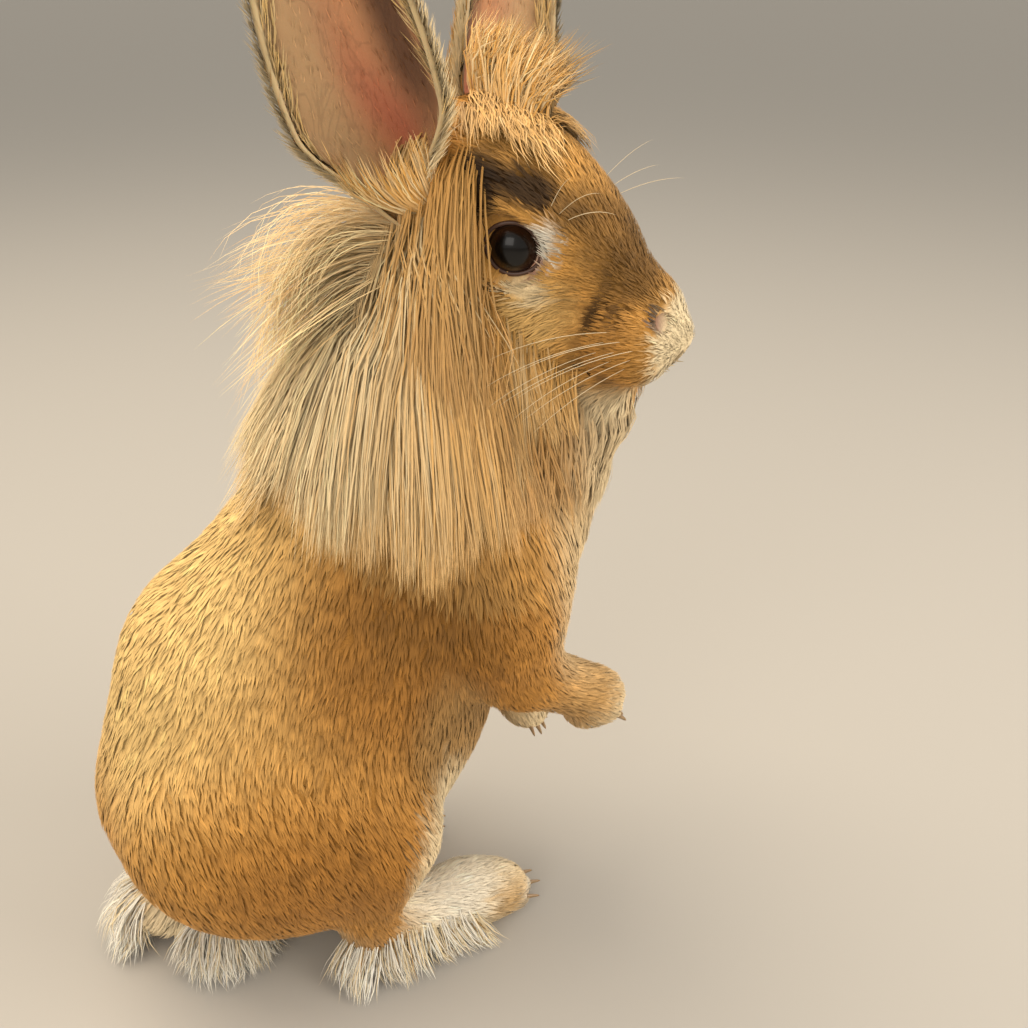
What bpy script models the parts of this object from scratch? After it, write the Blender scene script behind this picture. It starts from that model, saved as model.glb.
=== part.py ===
"""A lionhead rabbit standing up on its hind feet with its head turned to its right, life size.

Metres, +Z up. The rabbit faces +X, its left side is +Y, and the floor is z = 0. The flesh is one
smooth body, the blend of the named masses below, parted with thin cuts into the parts that a
person would name. The mane, forelock, tail and foot fringes are flat tapered locks.
"""
import math
import random
from collections import namedtuple

import bmesh
import bpy
import numpy as np
from mathutils import Vector


def mm(*values):
    """Millimetres to metres, as a number or an array."""
    return values[0] / 1000 if len(values) == 1 else np.array(values, float) / 1000


# Driving sizes
SEED = 7
GAP = mm(0.3)
GRAIN = mm(1.7)
FLESH_TRIANGLES = 4300
ORIGIN = mm(-9.4, 1.1, 0)

FAR = 1.0

HEAD_CENTRE = mm(52, -21.5, 267)
HEAD_TURN = math.radians(38)
HEAD_NOD = math.radians(27)
HEAD_REACH = mm(110)
NECK_BLEND = mm(12)

EYE_PLACE = mm(0, 13, 0)
EYE_RADIUS = mm(8.5)
EYE_OPENING = mm(7)
EYE_LOOK = (0.25, 0.96, 0.12)
LID_THICKNESS = mm(1.5)

# Each ear: root, middle and tip of its axis, and the way that its cup faces
EARS = {
    "ear_right": (mm(14, -18, 282), mm(2, -24, 319), mm(-13, -27, 374), (-0.40, -0.92, 0.05)),
    "ear_left": (mm(41, 8, 284), mm(49, 10, 322), mm(53, 14, 374), (0.62, -0.78, 0.05)),
}
EAR_WIDTH = mm(45)
EAR_ROOT_WIDTH = 0.52
EAR_WIDEST = 0.30
EAR_DEPTH = mm(15)
EAR_THICKNESS = mm(2.4)

# The axis of the neck, which the rows of the mane go round, and how deep a lock's root sits in the skin
NECK_TOP = mm(28, -6, 268)
NECK_BOTTOM = mm(14, -2, 205)
ROOT_DEPTH = mm(3)

# The mane's rows, from the ears down: height up the neck, count, width, how far the tips stay above the
# hem, lift at the sides and at the nape, and the share of that lift along a lock
Row = namedtuple("Row", "height count width above_hem lift nape_lift lie")
MANE = (
    Row(0.86, 16, mm(23), mm(0), mm(9.5), mm(17), (0.75, 1.0, 0.95, 0.7)),
    Row(0.58, 15, mm(22), mm(2), mm(6.4), mm(11), (0.8, 1.0, 0.75)),
    Row(0.30, 13, mm(21), mm(6), mm(3.6), mm(5), (0.9, 1.0, 0.9)),
)
HEM = mm(180)
NAPE_HEM = mm(200)
# How late a lock narrows to its tip: the long strands early, the brushes of the tail and feet late
LONG_TAPER = 2.2
BRUSH_TAPER = 3.2
LOCK_RIDGE = mm(1.5)
LOCK_KEEL = mm(0.9)
SWAY = mm(2.2)

WISP_COUNT = 5
WISP_REACH = mm(58)
FORELOCK_COUNT = 7
FORELOCK_REACH = mm(22)
CHEEK_COUNT = 5
CHEEK_LENGTH = mm(88)
FRINGE_COUNT = 6
FRINGE_REACH = mm(10)
# The two lobes of the tail's long hair: centre, first and last way in degrees, reach and count
TAIL_LOBES = (
    (mm(-88, 2), 80, 236, mm(28), 8),
    (mm(-66, -15), 208, 330, mm(25), 6),
)

CLAW_LENGTHS = {"hind": mm(8.5), "fore": mm(6)}
CLAW_RADIUS = mm(1.5)
CLAW_SIDES = 5
TOE_COUNT = 4

Ball = namedtuple("Ball", "centre radii lean blend")
Bone = namedtuple("Bone", "start end start_radius end_radius blend")

# The masses of the trunk and limbs, each blended into those before it
TRUNK = {
    "rump": Ball(mm(-44, 0, 69), mm(61, 50, 57), 0, mm(1)),
    "loin": Ball(mm(-24, 0, 108), mm(68, 48, 59), -24, mm(20)),
    "belly": Ball(mm(-13, 0, 92), mm(35, 38, 50), 0, mm(20)),
    "ribs": Ball(mm(5, 0, 150), mm(57, 44, 50), -25, mm(20)),
    "chest": Ball(mm(34, 0, 170), mm(46, 35, 42), 0, mm(20)),
    "nape": Bone(mm(10, 0, 184), mm(26, -6, 232), mm(36), mm(26), mm(18)),
    "throat": Bone(mm(57, -6, 195), mm(58, -18, 234), mm(22), mm(20), mm(16)),
    "dewlap": Ball(mm(70, -22, 218), mm(16, 15, 16), 0, mm(12)),
}
EACH_SIDE = {
    "haunch": Ball(mm(-42, 32, 68), mm(51, 25, 46), -22, mm(12)),
    "knee": Ball(mm(-14, 38, 70), mm(25, 17, 26), 0, mm(12)),
    "shank": Bone(mm(-4, 38, 60), mm(-14, 36, 24), mm(17), mm(11), mm(10)),
    "shoulder": Ball(mm(38, 28, 152), mm(26, 16, 36), 10, mm(14)),
}
RIGHT_LIMBS = {
    "upper_arm": Bone(mm(38, -34, 142), mm(45, -33, 122), mm(18), mm(12.5), mm(10)),
    "forearm": Bone(mm(45, -33, 121), mm(73, -25, 102), mm(12), mm(10.5), mm(8)),
    "forepaw": Ball(mm(76, -23, 96), mm(13, 10, 10.5), 35, mm(6)),
    "foot": Bone(mm(-12, -32, 11.7), mm(22, -26, 11.7), mm(13), mm(13), mm(8)),
    "forefoot": Ball(mm(31, -24, 11), mm(20, 13, 12.5), 0, mm(8)),
}
LEFT_LIMBS = {
    "upper_arm": Bone(mm(38, 32, 142), mm(36, 28, 108), mm(18), mm(14), mm(10)),
    "forearm": Bone(mm(38, 28, 108), mm(56, 16, 79), mm(12.5), mm(10.5), mm(8)),
    "forepaw": Ball(mm(59, 14, 72), mm(11, 10, 14), 20, mm(6)),
    "foot": Bone(mm(-42, 38, 11.7), mm(-8, 31, 11.7), mm(13), mm(13), mm(8)),
    "forefoot": Ball(mm(0, 29, 11), mm(20, 13, 12.5), 0, mm(8)),
}
# Each paw's toes: where they fan out from, the way they point, their reach, spread and radius
PAWS = {
    "hind_right": (mm(30, -24, 7), (0.96, 0.27, -0.05), mm(20), mm(17), mm(5.2)),
    "hind_left": (mm(-1, 29, 7), (0.97, -0.22, -0.05), mm(20), mm(17), mm(5.2)),
    "fore_right": (mm(74, -23.5, 97), (0.80, 0.18, -0.57), mm(11), mm(11), mm(4.2)),
    "fore_left": (mm(58, 14.5, 74), (0.45, -0.30, -0.84), mm(11), mm(11), mm(4.2)),
}
TAIL = {
    "tail": Ball(mm(-88, 2, 13), mm(17, 18, 14), 0, mm(8)),
    "tail_fold": Ball(mm(-66, -15, 12), mm(18, 14, 12), 0, mm(8)),
}

# The masses of the head, in its own axes: x to the nose, y to its left, z up, from between the eyes
SKULL = {
    "cranium": Ball(mm(-14, 0, 8), mm(32, 23, 22), 0, mm(1)),
    "forehead": Ball(mm(5, 0, 7.5), mm(25, 19, 16.5), 0, mm(8)),
    "snout": Bone(mm(8, 0, 1.5), mm(40, 0, 1), mm(16.5), mm(10.5), mm(8)),
    "nose": Ball(mm(49, 0, -2.5), mm(7.5, 7, 8), 0, mm(4)),
    "chin": Ball(mm(37.5, 0, -20), mm(11, 8.5, 8), 0, mm(4)),
    "jaw": Bone(mm(27, 0, -18), mm(-12, 0, -16), mm(9), mm(16), mm(8)),
}
FACE_SIDES = {
    "whisker_pad": Ball(mm(40.5, 8, -9), mm(14, 9.5, 12), 0, mm(6)),
    "cheek": Ball(mm(-6, 12, -12), mm(22, 13, 19), 0, mm(10)),
    "brow": Ball(mm(3, 13.5, 12), mm(12, 7.5, 5), 0, mm(6)),
}
# What is hollowed out of the face: the dish round each eye, the nostrils and the line of the mouth
HOLLOWS = {
    "eye_dish": Ball(mm(0.5, 18.5, 0), mm(10, 6, 8.5), 0, mm(4)),
    "nostril": Ball(mm(47.5, 7.8, 3), mm(3.4, 2, 2), 30, mm(1)),
    "cleft": Bone(mm(55, 0, -5), mm(50, 0, -15), mm(1.6), mm(1.6), mm(1.5)),
    "mouth": Bone(mm(50, 0.5, -16), mm(30, 12, -20), mm(1.6), mm(1.3), mm(1.5)),
}


def length_of(v):
    return np.sqrt(np.einsum("ij,ij->i", v, v))


def ball_distance(p, form):
    """Signed distance, near enough, to an ellipsoid that leans about the y axis."""
    c = math.cos(math.radians(form.lean))
    s = math.sin(math.radians(form.lean))
    lean = np.array([[c, 0, -s], [0, 1, 0], [s, 0, c]])
    a = (p - form.centre) @ (lean / form.radii)
    k0 = length_of(a) + 1e-9
    k1 = length_of(a / form.radii) + 1e-9
    return k0 * (k0 - 1) / k1


def bone_distance(p, form):
    """Signed distance to a rod with round ends of two sizes."""
    span = form.end - form.start
    length = math.sqrt(span @ span)
    narrowing = form.start_radius - form.end_radius
    q = p - form.start
    along = q @ span / length
    across = np.sqrt(np.maximum(np.einsum("ij,ij->i", q, q) - along ** 2, 0))
    slope = narrowing / math.sqrt(length ** 2 - narrowing ** 2)
    t = np.clip((along - across * slope) / length, 0, 1)
    return np.hypot(along - t * length, across) - (form.start_radius - t * narrowing)


def distance(p, form):
    return ball_distance(p, form) if isinstance(form, Ball) else bone_distance(p, form)


def blend(a, b, reach):
    """The smaller of two distances, with the crease between them rounded over reach."""
    h = np.maximum(reach - np.abs(a - b), 0) / reach
    return np.minimum(a, b) - h * h * reach / 4


def mirrored(form):
    """The same form on the other side of the plane y = 0."""
    flip = np.array([1, -1, 1])
    if isinstance(form, Ball):
        return form._replace(centre=form.centre * flip)
    return form._replace(start=form.start * flip, end=form.end * flip)


def both_sides(forms):
    return [*forms.values(), *(mirrored(form) for form in forms.values())]


def toe_line(paw, i):
    """Start and end of a toe's axis; the toes of a paw lie side by side."""
    root, heading, reach, spread, _ = PAWS[paw]
    heading = np.array(heading) / np.linalg.norm(heading)
    across = np.cross((0, 0, 1), heading)
    across /= np.linalg.norm(across)
    place = i / (TOE_COUNT - 1) - 0.5
    start = root + across * spread * 0.7 * place
    return start, root + across * spread * place + heading * reach * (1 - place ** 2)


def toes(paw):
    radius = PAWS[paw][4]
    return [Bone(*toe_line(paw, i), radius, radius * 0.8, mm(3)) for i in range(TOE_COUNT)]


BODY_FORMS = [*TRUNK.values(), *both_sides(EACH_SIDE), *RIGHT_LIMBS.values(), *LEFT_LIMBS.values(),
              *TAIL.values(), *(toe for paw in PAWS for toe in toes(paw))]
HEAD_FORMS = [*SKULL.values(), *both_sides(FACE_SIDES)]
HEAD_HOLLOWS = both_sides(HOLLOWS)
EYE_BEDS = both_sides({"eye_bed": Ball(EYE_PLACE, np.full(3, EYE_RADIUS - mm(1)), 0, mm(1))})


def axes_of(forward, up):
    """Columns for a frame that looks along forward and keeps its z near up."""
    x = np.array(forward, float) / np.linalg.norm(forward)
    y = np.cross(up, x)
    y /= np.linalg.norm(y)
    return np.column_stack([x, y, np.cross(x, y)])


HEAD_AXES = axes_of((math.cos(HEAD_TURN) * math.cos(HEAD_NOD), -math.sin(HEAD_TURN) * math.cos(HEAD_NOD),
                     -math.sin(HEAD_NOD)), (0, 0, 1))


def to_head(p):
    return (p - HEAD_CENTRE) @ HEAD_AXES


def from_head(q):
    return np.asarray(q, float) @ HEAD_AXES.T + HEAD_CENTRE


def lid_distance(q, side):
    """The ring of the eyelids, round the eye's line of sight."""
    look = np.array(EYE_LOOK) * (1, side, 1)
    look /= np.linalg.norm(look)
    q = q - EYE_PLACE * (1, side, 1)
    height = math.sqrt(EYE_RADIUS ** 2 - EYE_OPENING ** 2)
    along = q @ look
    across = np.sqrt(np.maximum(np.einsum("ij,ij->i", q, q) - along ** 2, 0))
    return np.hypot(across - EYE_OPENING - LID_THICKNESS / 2, along - height) - LID_THICKNESS


def merged(d, p, form):
    """The distance d with a form blended in, worked out only where the form can change it."""
    if isinstance(form, Ball):
        middle, bound = form.centre, form.radii.max()
    else:
        middle = (form.start + form.end) / 2
        bound = length_of((form.end - form.start)[None])[0] / 2 + max(form.start_radius, form.end_radius)
    near = length_of(p - middle) - bound < d + form.blend
    d[near] = blend(d[near], distance(p[near], form), form.blend)
    return d


def head_field(p):
    q = to_head(p)
    d = np.full(len(p), FAR)
    for form in HEAD_FORMS:
        d = merged(d, q, form)
    for form in HEAD_HOLLOWS:
        d = -blend(-d, distance(q, form), form.blend)
    for form in EYE_BEDS:
        d = merged(d, q, form)
    for side in (1, -1):
        d = blend(d, lid_distance(q, side), mm(2))
    return d


def body_field(p):
    """Signed distance, near enough, to the whole rabbit's flesh and short fur."""
    d = np.full(len(p), FAR)
    for form in BODY_FORMS:
        d = merged(d, p, form)
    near = length_of(p - HEAD_CENTRE) < HEAD_REACH
    d[near] = blend(d[near], head_field(p[near]), NECK_BLEND)
    return d


def slope_at(p, here):
    """The field's slope as unit vectors that point out of the body; here is the field at p."""
    step = mm(0.3)
    slope = np.stack([body_field(p + step * np.eye(3)[k]) - here for k in range(3)], axis=1)
    return slope / (length_of(slope)[:, None] + 1e-12)


def settle(p, level=0.0, rounds=3):
    """Moves points along the slope until the field has the given value there."""
    p = np.array(p, float)
    for _ in range(rounds):
        here = body_field(p)
        miss = np.clip(here - level, -mm(4), mm(4))
        p -= slope_at(p, here) * miss[:, None] * 0.95
    return p


def points_of(mesh):
    flat = np.empty(len(mesh.vertices) * 3, np.float32)
    mesh.vertices.foreach_get("co", flat)
    return flat.reshape(-1, 3).astype(float)


def new_object(name, mesh, collection):
    obj = bpy.data.objects.new(name, mesh)
    collection.objects.link(obj)
    return obj


def mesh_object(name, points, faces, collection):
    mesh = bpy.data.meshes.new(name)
    mesh.from_pydata([tuple(p) for p in points], [], faces)
    bm = bmesh.new()
    bm.from_mesh(mesh)
    bmesh.ops.recalc_face_normals(bm, faces=bm.faces)
    bm.to_mesh(mesh)
    bm.free()
    return new_object(name, mesh, collection)


def bake(obj):
    """Puts the evaluated mesh in the object's own place and drops its modifiers."""
    bpy.context.view_layer.update()
    mesh = bpy.data.meshes.new_from_object(obj.evaluated_get(bpy.context.evaluated_depsgraph_get()))
    mesh.transform(obj.matrix_world)
    obj.modifiers.clear()
    obj.matrix_world.identity()
    obj.data = mesh
    return obj


def unit_sphere(sides):
    bm = bmesh.new()
    bmesh.ops.create_uvsphere(bm, u_segments=sides, v_segments=sides // 2, radius=1)
    points = np.array([v.co for v in bm.verts])
    faces = [tuple(v.index for v in face.verts) for face in bm.faces]
    bm.free()
    return points, faces


def ellipsoids(name, specs, sides, collection):
    """Closed ellipsoids in one object, each from its centre, radii, lean and a placing function."""
    sphere, sphere_faces = unit_sphere(sides)
    points = []
    faces = []
    for centre, radii, lean, place in specs:
        c = math.cos(math.radians(lean))
        s = math.sin(math.radians(lean))
        turn = np.array([[c, 0, s], [0, 1, 0], [-s, 0, c]])
        start = len(points) * len(sphere)
        faces += [tuple(start + i for i in face) for face in sphere_faces]
        points.append(place(centre + (sphere * radii) @ turn))
    return mesh_object(name, np.concatenate(points), faces, collection)


def rough_body(collection):
    """Overlapping ellipsoids in the places of the masses, as the start of the skin."""
    specs = []
    for form, place in [(f, np.array) for f in BODY_FORMS] + [(f, from_head) for f in HEAD_FORMS]:
        if isinstance(form, Ball):
            specs.append((form.centre, form.radii, form.lean, place))
            continue
        for t in np.linspace(0, 1, 5):
            radius = form.start_radius + t * (form.end_radius - form.start_radius)
            specs.append((form.start + t * (form.end - form.start), np.full(3, radius), 0, place))
    return ellipsoids("body", specs, 16, collection)


def whole_body(collection):
    """The blended body as one closed mesh."""
    obj = rough_body(collection)
    for grain, rounds in ((2 * GRAIN, 4), (GRAIN, 2)):
        remesh = obj.modifiers.new("even", "REMESH")
        remesh.mode = "VOXEL"
        remesh.voxel_size = grain
        bake(obj)
        points = settle(points_of(obj.data), 0.0, rounds)
        obj.data.vertices.foreach_set("co", points.astype(np.float32).ravel())
        obj.data.update()
    keep_largest(obj)
    thin = obj.modifiers.new("thin out", "DECIMATE")
    thin.ratio = FLESH_TRIANGLES / (2 * len(obj.data.polygons))
    bake(obj)
    return obj


def keep_largest(obj):
    """Keeps the closed surface with the most faces, which drops scraps and sealed hollows."""
    bm = bmesh.new()
    bm.from_mesh(obj.data)
    left = set(bm.faces)
    islands = []
    while left:
        island = set()
        edge_of_search = [left.pop()]
        while edge_of_search:
            face = edge_of_search.pop()
            island.add(face)
            near = {other for edge in face.edges for other in edge.link_faces} & left
            left -= near
            edge_of_search.extend(near)
        islands.append(island)
    largest = max(islands, key=len)
    drop = [face for island in islands if island is not largest for face in island]
    if drop:
        bmesh.ops.delete(bm, geom=drop, context="FACES")
    bm.to_mesh(obj.data)
    bm.free()
    return obj


def boolean(obj, operation, cutter, solver="EXACT"):
    """Applies one Boolean with an object or a collection of them."""
    modifier = obj.modifiers.new(operation.lower(), "BOOLEAN")
    modifier.operation = operation
    modifier.solver = solver
    if isinstance(cutter, bpy.types.Collection):
        modifier.operand_type = "COLLECTION"
        modifier.collection = cutter
    else:
        modifier.object = cutter
    return bake(obj)


def copy_of(obj, name, collection):
    return new_object(name, obj.data.copy(), collection)


def remove(obj):
    bpy.data.objects.remove(obj, do_unlink=True)


def region_ball(centre, radii, lean=0.0):
    """A region of the body as an ellipsoid: a function that makes it, grown by a margin."""
    def make(name, margin, collection):
        return ellipsoids(name, [(centre, radii + margin, lean, np.array)], 13, collection)
    return make


def region_box(low, high):
    def make(name, margin, collection):
        a = np.asarray(low) - margin
        b = np.asarray(high) + margin
        bm = bmesh.new()
        made = bmesh.ops.create_cube(bm, size=1)
        for v in made["verts"]:
            v.co = [a[k] if v.co[k] < 0 else b[k] for k in range(3)]
        mesh = bpy.data.meshes.new(name)
        bm.to_mesh(mesh)
        bm.free()
        return new_object(name, mesh, collection)
    return make


def region_outline(outline, half_width, place):
    """A region as an outline in x and z, anticlockwise, as wide as the body, put in place by a function."""
    def make(name, margin, collection):
        grown = []
        count = len(outline)
        for i in range(count):
            before = outline[i] - outline[i - 1]
            after = outline[(i + 1) % count] - outline[i]
            normals = [np.array([e[1], -e[0]]) / np.linalg.norm(e) for e in (before, after)]
            corner = normals[0] + normals[1]
            grown.append(outline[i] + corner * margin / (1 + normals[0] @ normals[1]))
        points = [place((x, y, z)) for y in (-half_width, half_width) for x, z in grown]
        faces = [tuple(range(count)), tuple(range(2 * count - 1, count - 1, -1))]
        faces += [(i, count + i, count + (i + 1) % count, (i + 1) % count) for i in range(count)]
        return mesh_object(name, points, faces, collection)
    return make


# The face and the crown that carries the ears, seen from the head's left side
HEAD_OUTLINE = [mm(x, z) for x, z in ((80, -42), (80, 90), (-70, 90), (-58, -2), (-24, -6), (-14, -12),
                                      (-9, -26), (12, -35))]
NECK_OUTLINE = [mm(x, z) for x, z in ((-90, 218), (52, 196), (120, 196), (120, 300), (-90, 300))]

REGIONS = {
    "head": region_outline(HEAD_OUTLINE, mm(60), from_head),
    "neck": region_outline(NECK_OUTLINE, mm(90), np.array),
    "hind_foot_right": region_box(mm(-36, -60, -10), mm(70, -8, 25)),
    "hind_foot_left": region_box(mm(-66, 12, -10), mm(50, 60, 25)),
    "foreleg_right": region_ball(mm(62, -34, 106), mm(38, 24, 27), -12),
    "foreleg_left": region_ball(mm(54, 26, 90), mm(30, 22, 42), 20),
    "tail": region_ball(mm(-92, -8, 4), mm(54, 46, 23)),
    "hind_leg_right": region_ball(mm(-30, -54, 58), mm(60, 32, 60), -10),
    "hind_leg_left": region_ball(mm(-30, 54, 58), mm(60, 32, 60), -10),
}


def part_body(body, collection):
    """Cuts the body into its regions, GAP apart. What is left is the torso."""
    nodes = {}
    for name, make in REGIONS.items():
        inside = make("inside", 0.0, collection)
        around = make("around", GAP, collection)
        nodes[name] = copy_of(body, name, collection)
        boolean(nodes[name], "INTERSECT", inside)
        boolean(body, "DIFFERENCE", around)
        keep_largest(nodes[name])
        remove(inside)
        remove(around)
    keep_largest(body)
    body.name = "torso"
    nodes["torso"] = body
    return nodes


def ear_frame(t, ear):
    """Centre, width way and facing way of an ear's section, with t from 0 at the root to 1."""
    root, middle, tip, facing = ear
    centre = (1 - t) ** 2 * root + 2 * t * (1 - t) * (2 * middle - (root + tip) / 2) + t ** 2 * tip
    along = (1 - t) * (2 * middle - (root + tip) / 2 - root) + t * (tip - 2 * middle + (root + tip) / 2)
    along = along / np.linalg.norm(along)
    wide = np.cross(along, facing)
    wide /= np.linalg.norm(wide)
    return centre, wide, np.cross(wide, along)


def ear_section(t, ear, thickness, sides):
    """Points round a section of the ear's shell: out along its back, and home inside the cup."""
    centre, wide, face = ear_frame(t, ear)
    rise = min(t / EAR_WIDEST, 1)
    rise = rise * rise * (3 - 2 * rise)
    fall = max((t - EAR_WIDEST) / (1.004 - EAR_WIDEST), 0)
    half = EAR_WIDTH / 2 * (EAR_ROOT_WIDTH + (1 - EAR_ROOT_WIDTH) * rise) * math.sqrt(1 - fall ** 2.4)
    depth = EAR_DEPTH * (0.35 + 0.65 * (1 - t) ** 0.6) * min(1, half / mm(8))
    curl = math.radians(142 - 72 * min(t / 0.8, 1) ** 0.7)
    points = []
    for skin, way in ((0, 1), (min(thickness, half * 0.35), -1)):
        for u in np.linspace(-way, way, sides):
            a = curl * u
            across = (half - skin) * math.sin(a) / math.sin(min(curl, math.pi / 2))
            deep = skin + (depth - skin) * (1 - math.cos(a)) / (1 - math.cos(curl))
            points.append(centre + wide * across + face * (deep - depth * 0.5))
    return points


def loft(name, rings, collection):
    """A closed skin over rings of equal counts of points, with its ends filled."""
    count = len(rings[0])
    faces = [tuple(range(count)), tuple(range(len(rings) * count - 1, (len(rings) - 1) * count - 1, -1))]
    for k in range(len(rings) - 1):
        for i in range(count):
            j = (i + 1) % count
            faces.append((k * count + i, k * count + j, (k + 1) * count + j, (k + 1) * count + i))
    obj = mesh_object(name, [p for ring in rings for p in ring], faces, collection)
    bm = bmesh.new()
    bm.from_mesh(obj.data)
    bmesh.ops.triangulate(bm, faces=bm.faces)
    bm.to_mesh(obj.data)
    bm.free()
    return obj


def ear(name, collection):
    """A cupped shell that stands on a solid root."""
    spec = EARS[name]
    heights = [0, 0.08, 0.17, 0.28, 0.40, 0.53, 0.66, 0.78, 0.88, 0.95, 1]
    shell = loft(name, [ear_section(t, spec, EAR_THICKNESS, 8) for t in heights], collection)
    foot = spec[0] - (spec[1] - spec[0]) * 0.12
    root = ellipsoids("ear_root", [(foot, mm(6.5, 6.5, 8), 0, np.array)], 10, collection)
    boolean(shell, "UNION", root)
    remove(root)
    return keep_largest(shell)


def hull_of(name, points, collection):
    bm = bmesh.new()
    for p in points:
        bm.verts.new(p)
    hull = bmesh.ops.convex_hull(bm, input=bm.verts)
    spare = {v for v in hull["geom_interior"] + hull["geom_unused"] if isinstance(v, bmesh.types.BMVert)}
    bmesh.ops.delete(bm, geom=list(spare), context="VERTS")
    mesh = bpy.data.meshes.new(name)
    bm.to_mesh(mesh)
    bm.free()
    return new_object(name, mesh, collection)


def ear_socket(obj, spec, collection):
    """The hollow that the foot of an ear stands in, GAP wider than the ear."""
    along = (spec[1] - spec[0]) / np.linalg.norm(spec[1] - spec[0])
    grown = [np.array(v.co) + np.array(v.normal) * GAP * 1.6 for v in obj.data.vertices
             if (np.array(v.co) - spec[0]) @ along < mm(38)]
    return hull_of("socket", grown, collection)


def eyeball(name, side, radius, collection):
    look = np.array(EYE_LOOK) * (1, side, 1)
    turn = axes_of(look, (0, 0, 1))[:, [1, 2, 0]]
    centre = EYE_PLACE * (1, side, 1)
    ball = (np.zeros(3), np.full(3, radius), 0, lambda q: from_head(centre + q @ turn.T))
    return ellipsoids(name, [ball], 14, collection)


def skin_point(inside, way):
    """Where a straight line out of the body meets its surface."""
    p = np.array(inside, float)
    for _ in range(40):
        p = p - way * body_field(p[None])[0]
    return p


def claw(name, paw, i, margin, collection):
    """A curved cone with its thick end in the toe."""
    start, end = toe_line(paw, i)
    way = (end - start) / np.linalg.norm(end - start)
    droop = np.array([0, 0, -1.0])
    length = CLAW_LENGTHS[paw.split("_")[0]]
    tip_of_toe = skin_point(end, way)
    rings = []
    for t in (0, 0.5, 1):
        centre = tip_of_toe + way * length * (t - 0.5) + droop * length * 0.16 * t * t
        centre = centre + way * margin * (2 * t - 1) * 1.5
        frame = axes_of(way + droop * 0.32 * t, (0, 0, 1))
        radius = CLAW_RADIUS * (1 - 0.72 * t) + margin
        rings.append([centre + radius * (frame[:, 1] * math.cos(a) + frame[:, 2] * math.sin(a))
                      for a in np.arange(CLAW_SIDES) * 2 * math.pi / CLAW_SIDES])
    return loft(name, rings, collection)


def inside_outline(outline, x, z):
    """Whether a point lies inside a closed outline, by counting the edges to one side of it."""
    crossings = 0
    for i in range(len(outline)):
        (ax, az), (bx, bz) = outline[i - 1], outline[i]
        if (az > z) != (bz > z) and x < ax + (z - az) / (bz - az) * (bx - ax):
            crossings += 1
    return crossings % 2 == 1


def on_neck(p):
    q = to_head(p)
    return inside_outline(NECK_OUTLINE, p[0], p[2]) and not inside_outline(HEAD_OUTLINE, q[0], q[2])


def neck_ring(count, height):
    """Points on the neck's skin all round it at a share of its height, or lower where the jaw is in the way.

    Also the way out of the neck at each, and its share to the back.
    """
    turns = (np.arange(count) + 0.5) * 2 * math.pi / count
    axis = NECK_TOP - NECK_BOTTOM
    frame = axes_of(axis, (-1, 0, 0))
    ways = np.outer(np.cos(turns), frame[:, 1]) + np.outer(np.sin(turns), frame[:, 2])
    roots = np.zeros((count, 3))
    unplaced = np.arange(count)
    for level in np.arange(height, 0, -0.04):
        p = np.repeat((NECK_BOTTOM + axis * level)[None], len(unplaced), axis=0)
        for _ in range(30):
            here = body_field(p)
            step = np.where(here < -mm(1), np.maximum(-here, mm(2)), -here)
            p = p + ways[unplaced] * step[:, None]
        roots[unplaced] = p
        unplaced = unplaced[[not on_neck(root) for root in p]]
        if not len(unplaced):
            break
    return roots, ways, np.sin(turns)


def hang(roots, falls, lengths, lifts):
    """Paths that lie over the body: each is carried along its fall and set at its lifts off the skin."""
    here = settle(roots, -ROOT_DEPTH)
    steps = lifts.shape[1]
    paths = [here]
    for k in range(steps):
        out = slope_at(here, body_field(here))
        slide = falls - out * np.einsum("ij,ij->i", falls, out)[:, None]
        slide /= length_of(slide)[:, None] + 1e-9
        here = here + slide * (lengths / steps)[:, None]
        here = settle(here, lifts[:, k], 4)
        paths.append(here)
    return np.stack(paths, axis=1)


def bow(start, bend, tip, steps=3):
    """Points on a curve from start to tip that is drawn towards bend."""
    return np.array([(1 - t) ** 2 * start + 2 * t * (1 - t) * bend + t * t * tip
                     for t in np.linspace(0, 1, steps + 1)])


def lock(path, out, width, taper, margin, collection):
    """A flat lock with a low ridge along a path, tapered to a point, margin larger all round."""
    points = []
    steps = len(path) - 1
    for k in range(steps):
        along = path[k + 1] - path[max(k - 1, 0)]
        side = np.cross(along, out[max(k, 1)])
        side /= np.linalg.norm(side)
        up = np.cross(side, along)
        up /= np.linalg.norm(up)
        share = k / steps
        half = width * (0.38 + 0.4 * share - 0.78 * share ** taper) + margin * 2
        thick = min(1, width / mm(8))
        points += [path[k] + side * half, path[k] - up * (LOCK_KEEL * thick + margin),
                   path[k] - side * half, path[k] + up * (LOCK_RIDGE * thick + margin)]
    onward = path[-1] - path[-2]
    points.append(path[-1] + onward / np.linalg.norm(onward) * margin * 4)
    faces = [(0, 1, 2), (0, 2, 3)]
    for k in range(steps - 1):
        for i in range(4):
            a, b = 4 * k + i, 4 * k + (i + 1) % 4
            faces += [(a, b, b + 4), (a, b + 4, a + 4)]
    last = 4 * (steps - 1)
    faces += [(last + i, last + (i + 1) % 4, last + 4) for i in range(4)]
    return mesh_object("lock", points, faces, collection)


def swayed(paths, out, draw):
    """Bends each path to one side, more towards its tip."""
    for i in range(len(paths)):
        side = np.cross(paths[i][-1] - paths[i][0], out[i][1])
        side /= np.linalg.norm(side)
        phase = draw.uniform(-1, 1)
        share = np.linspace(0, 1, len(paths[i]))
        paths[i] = paths[i] + np.outer(np.sin(share * 4 + phase * 3) * share, side) * SWAY
    return paths


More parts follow.
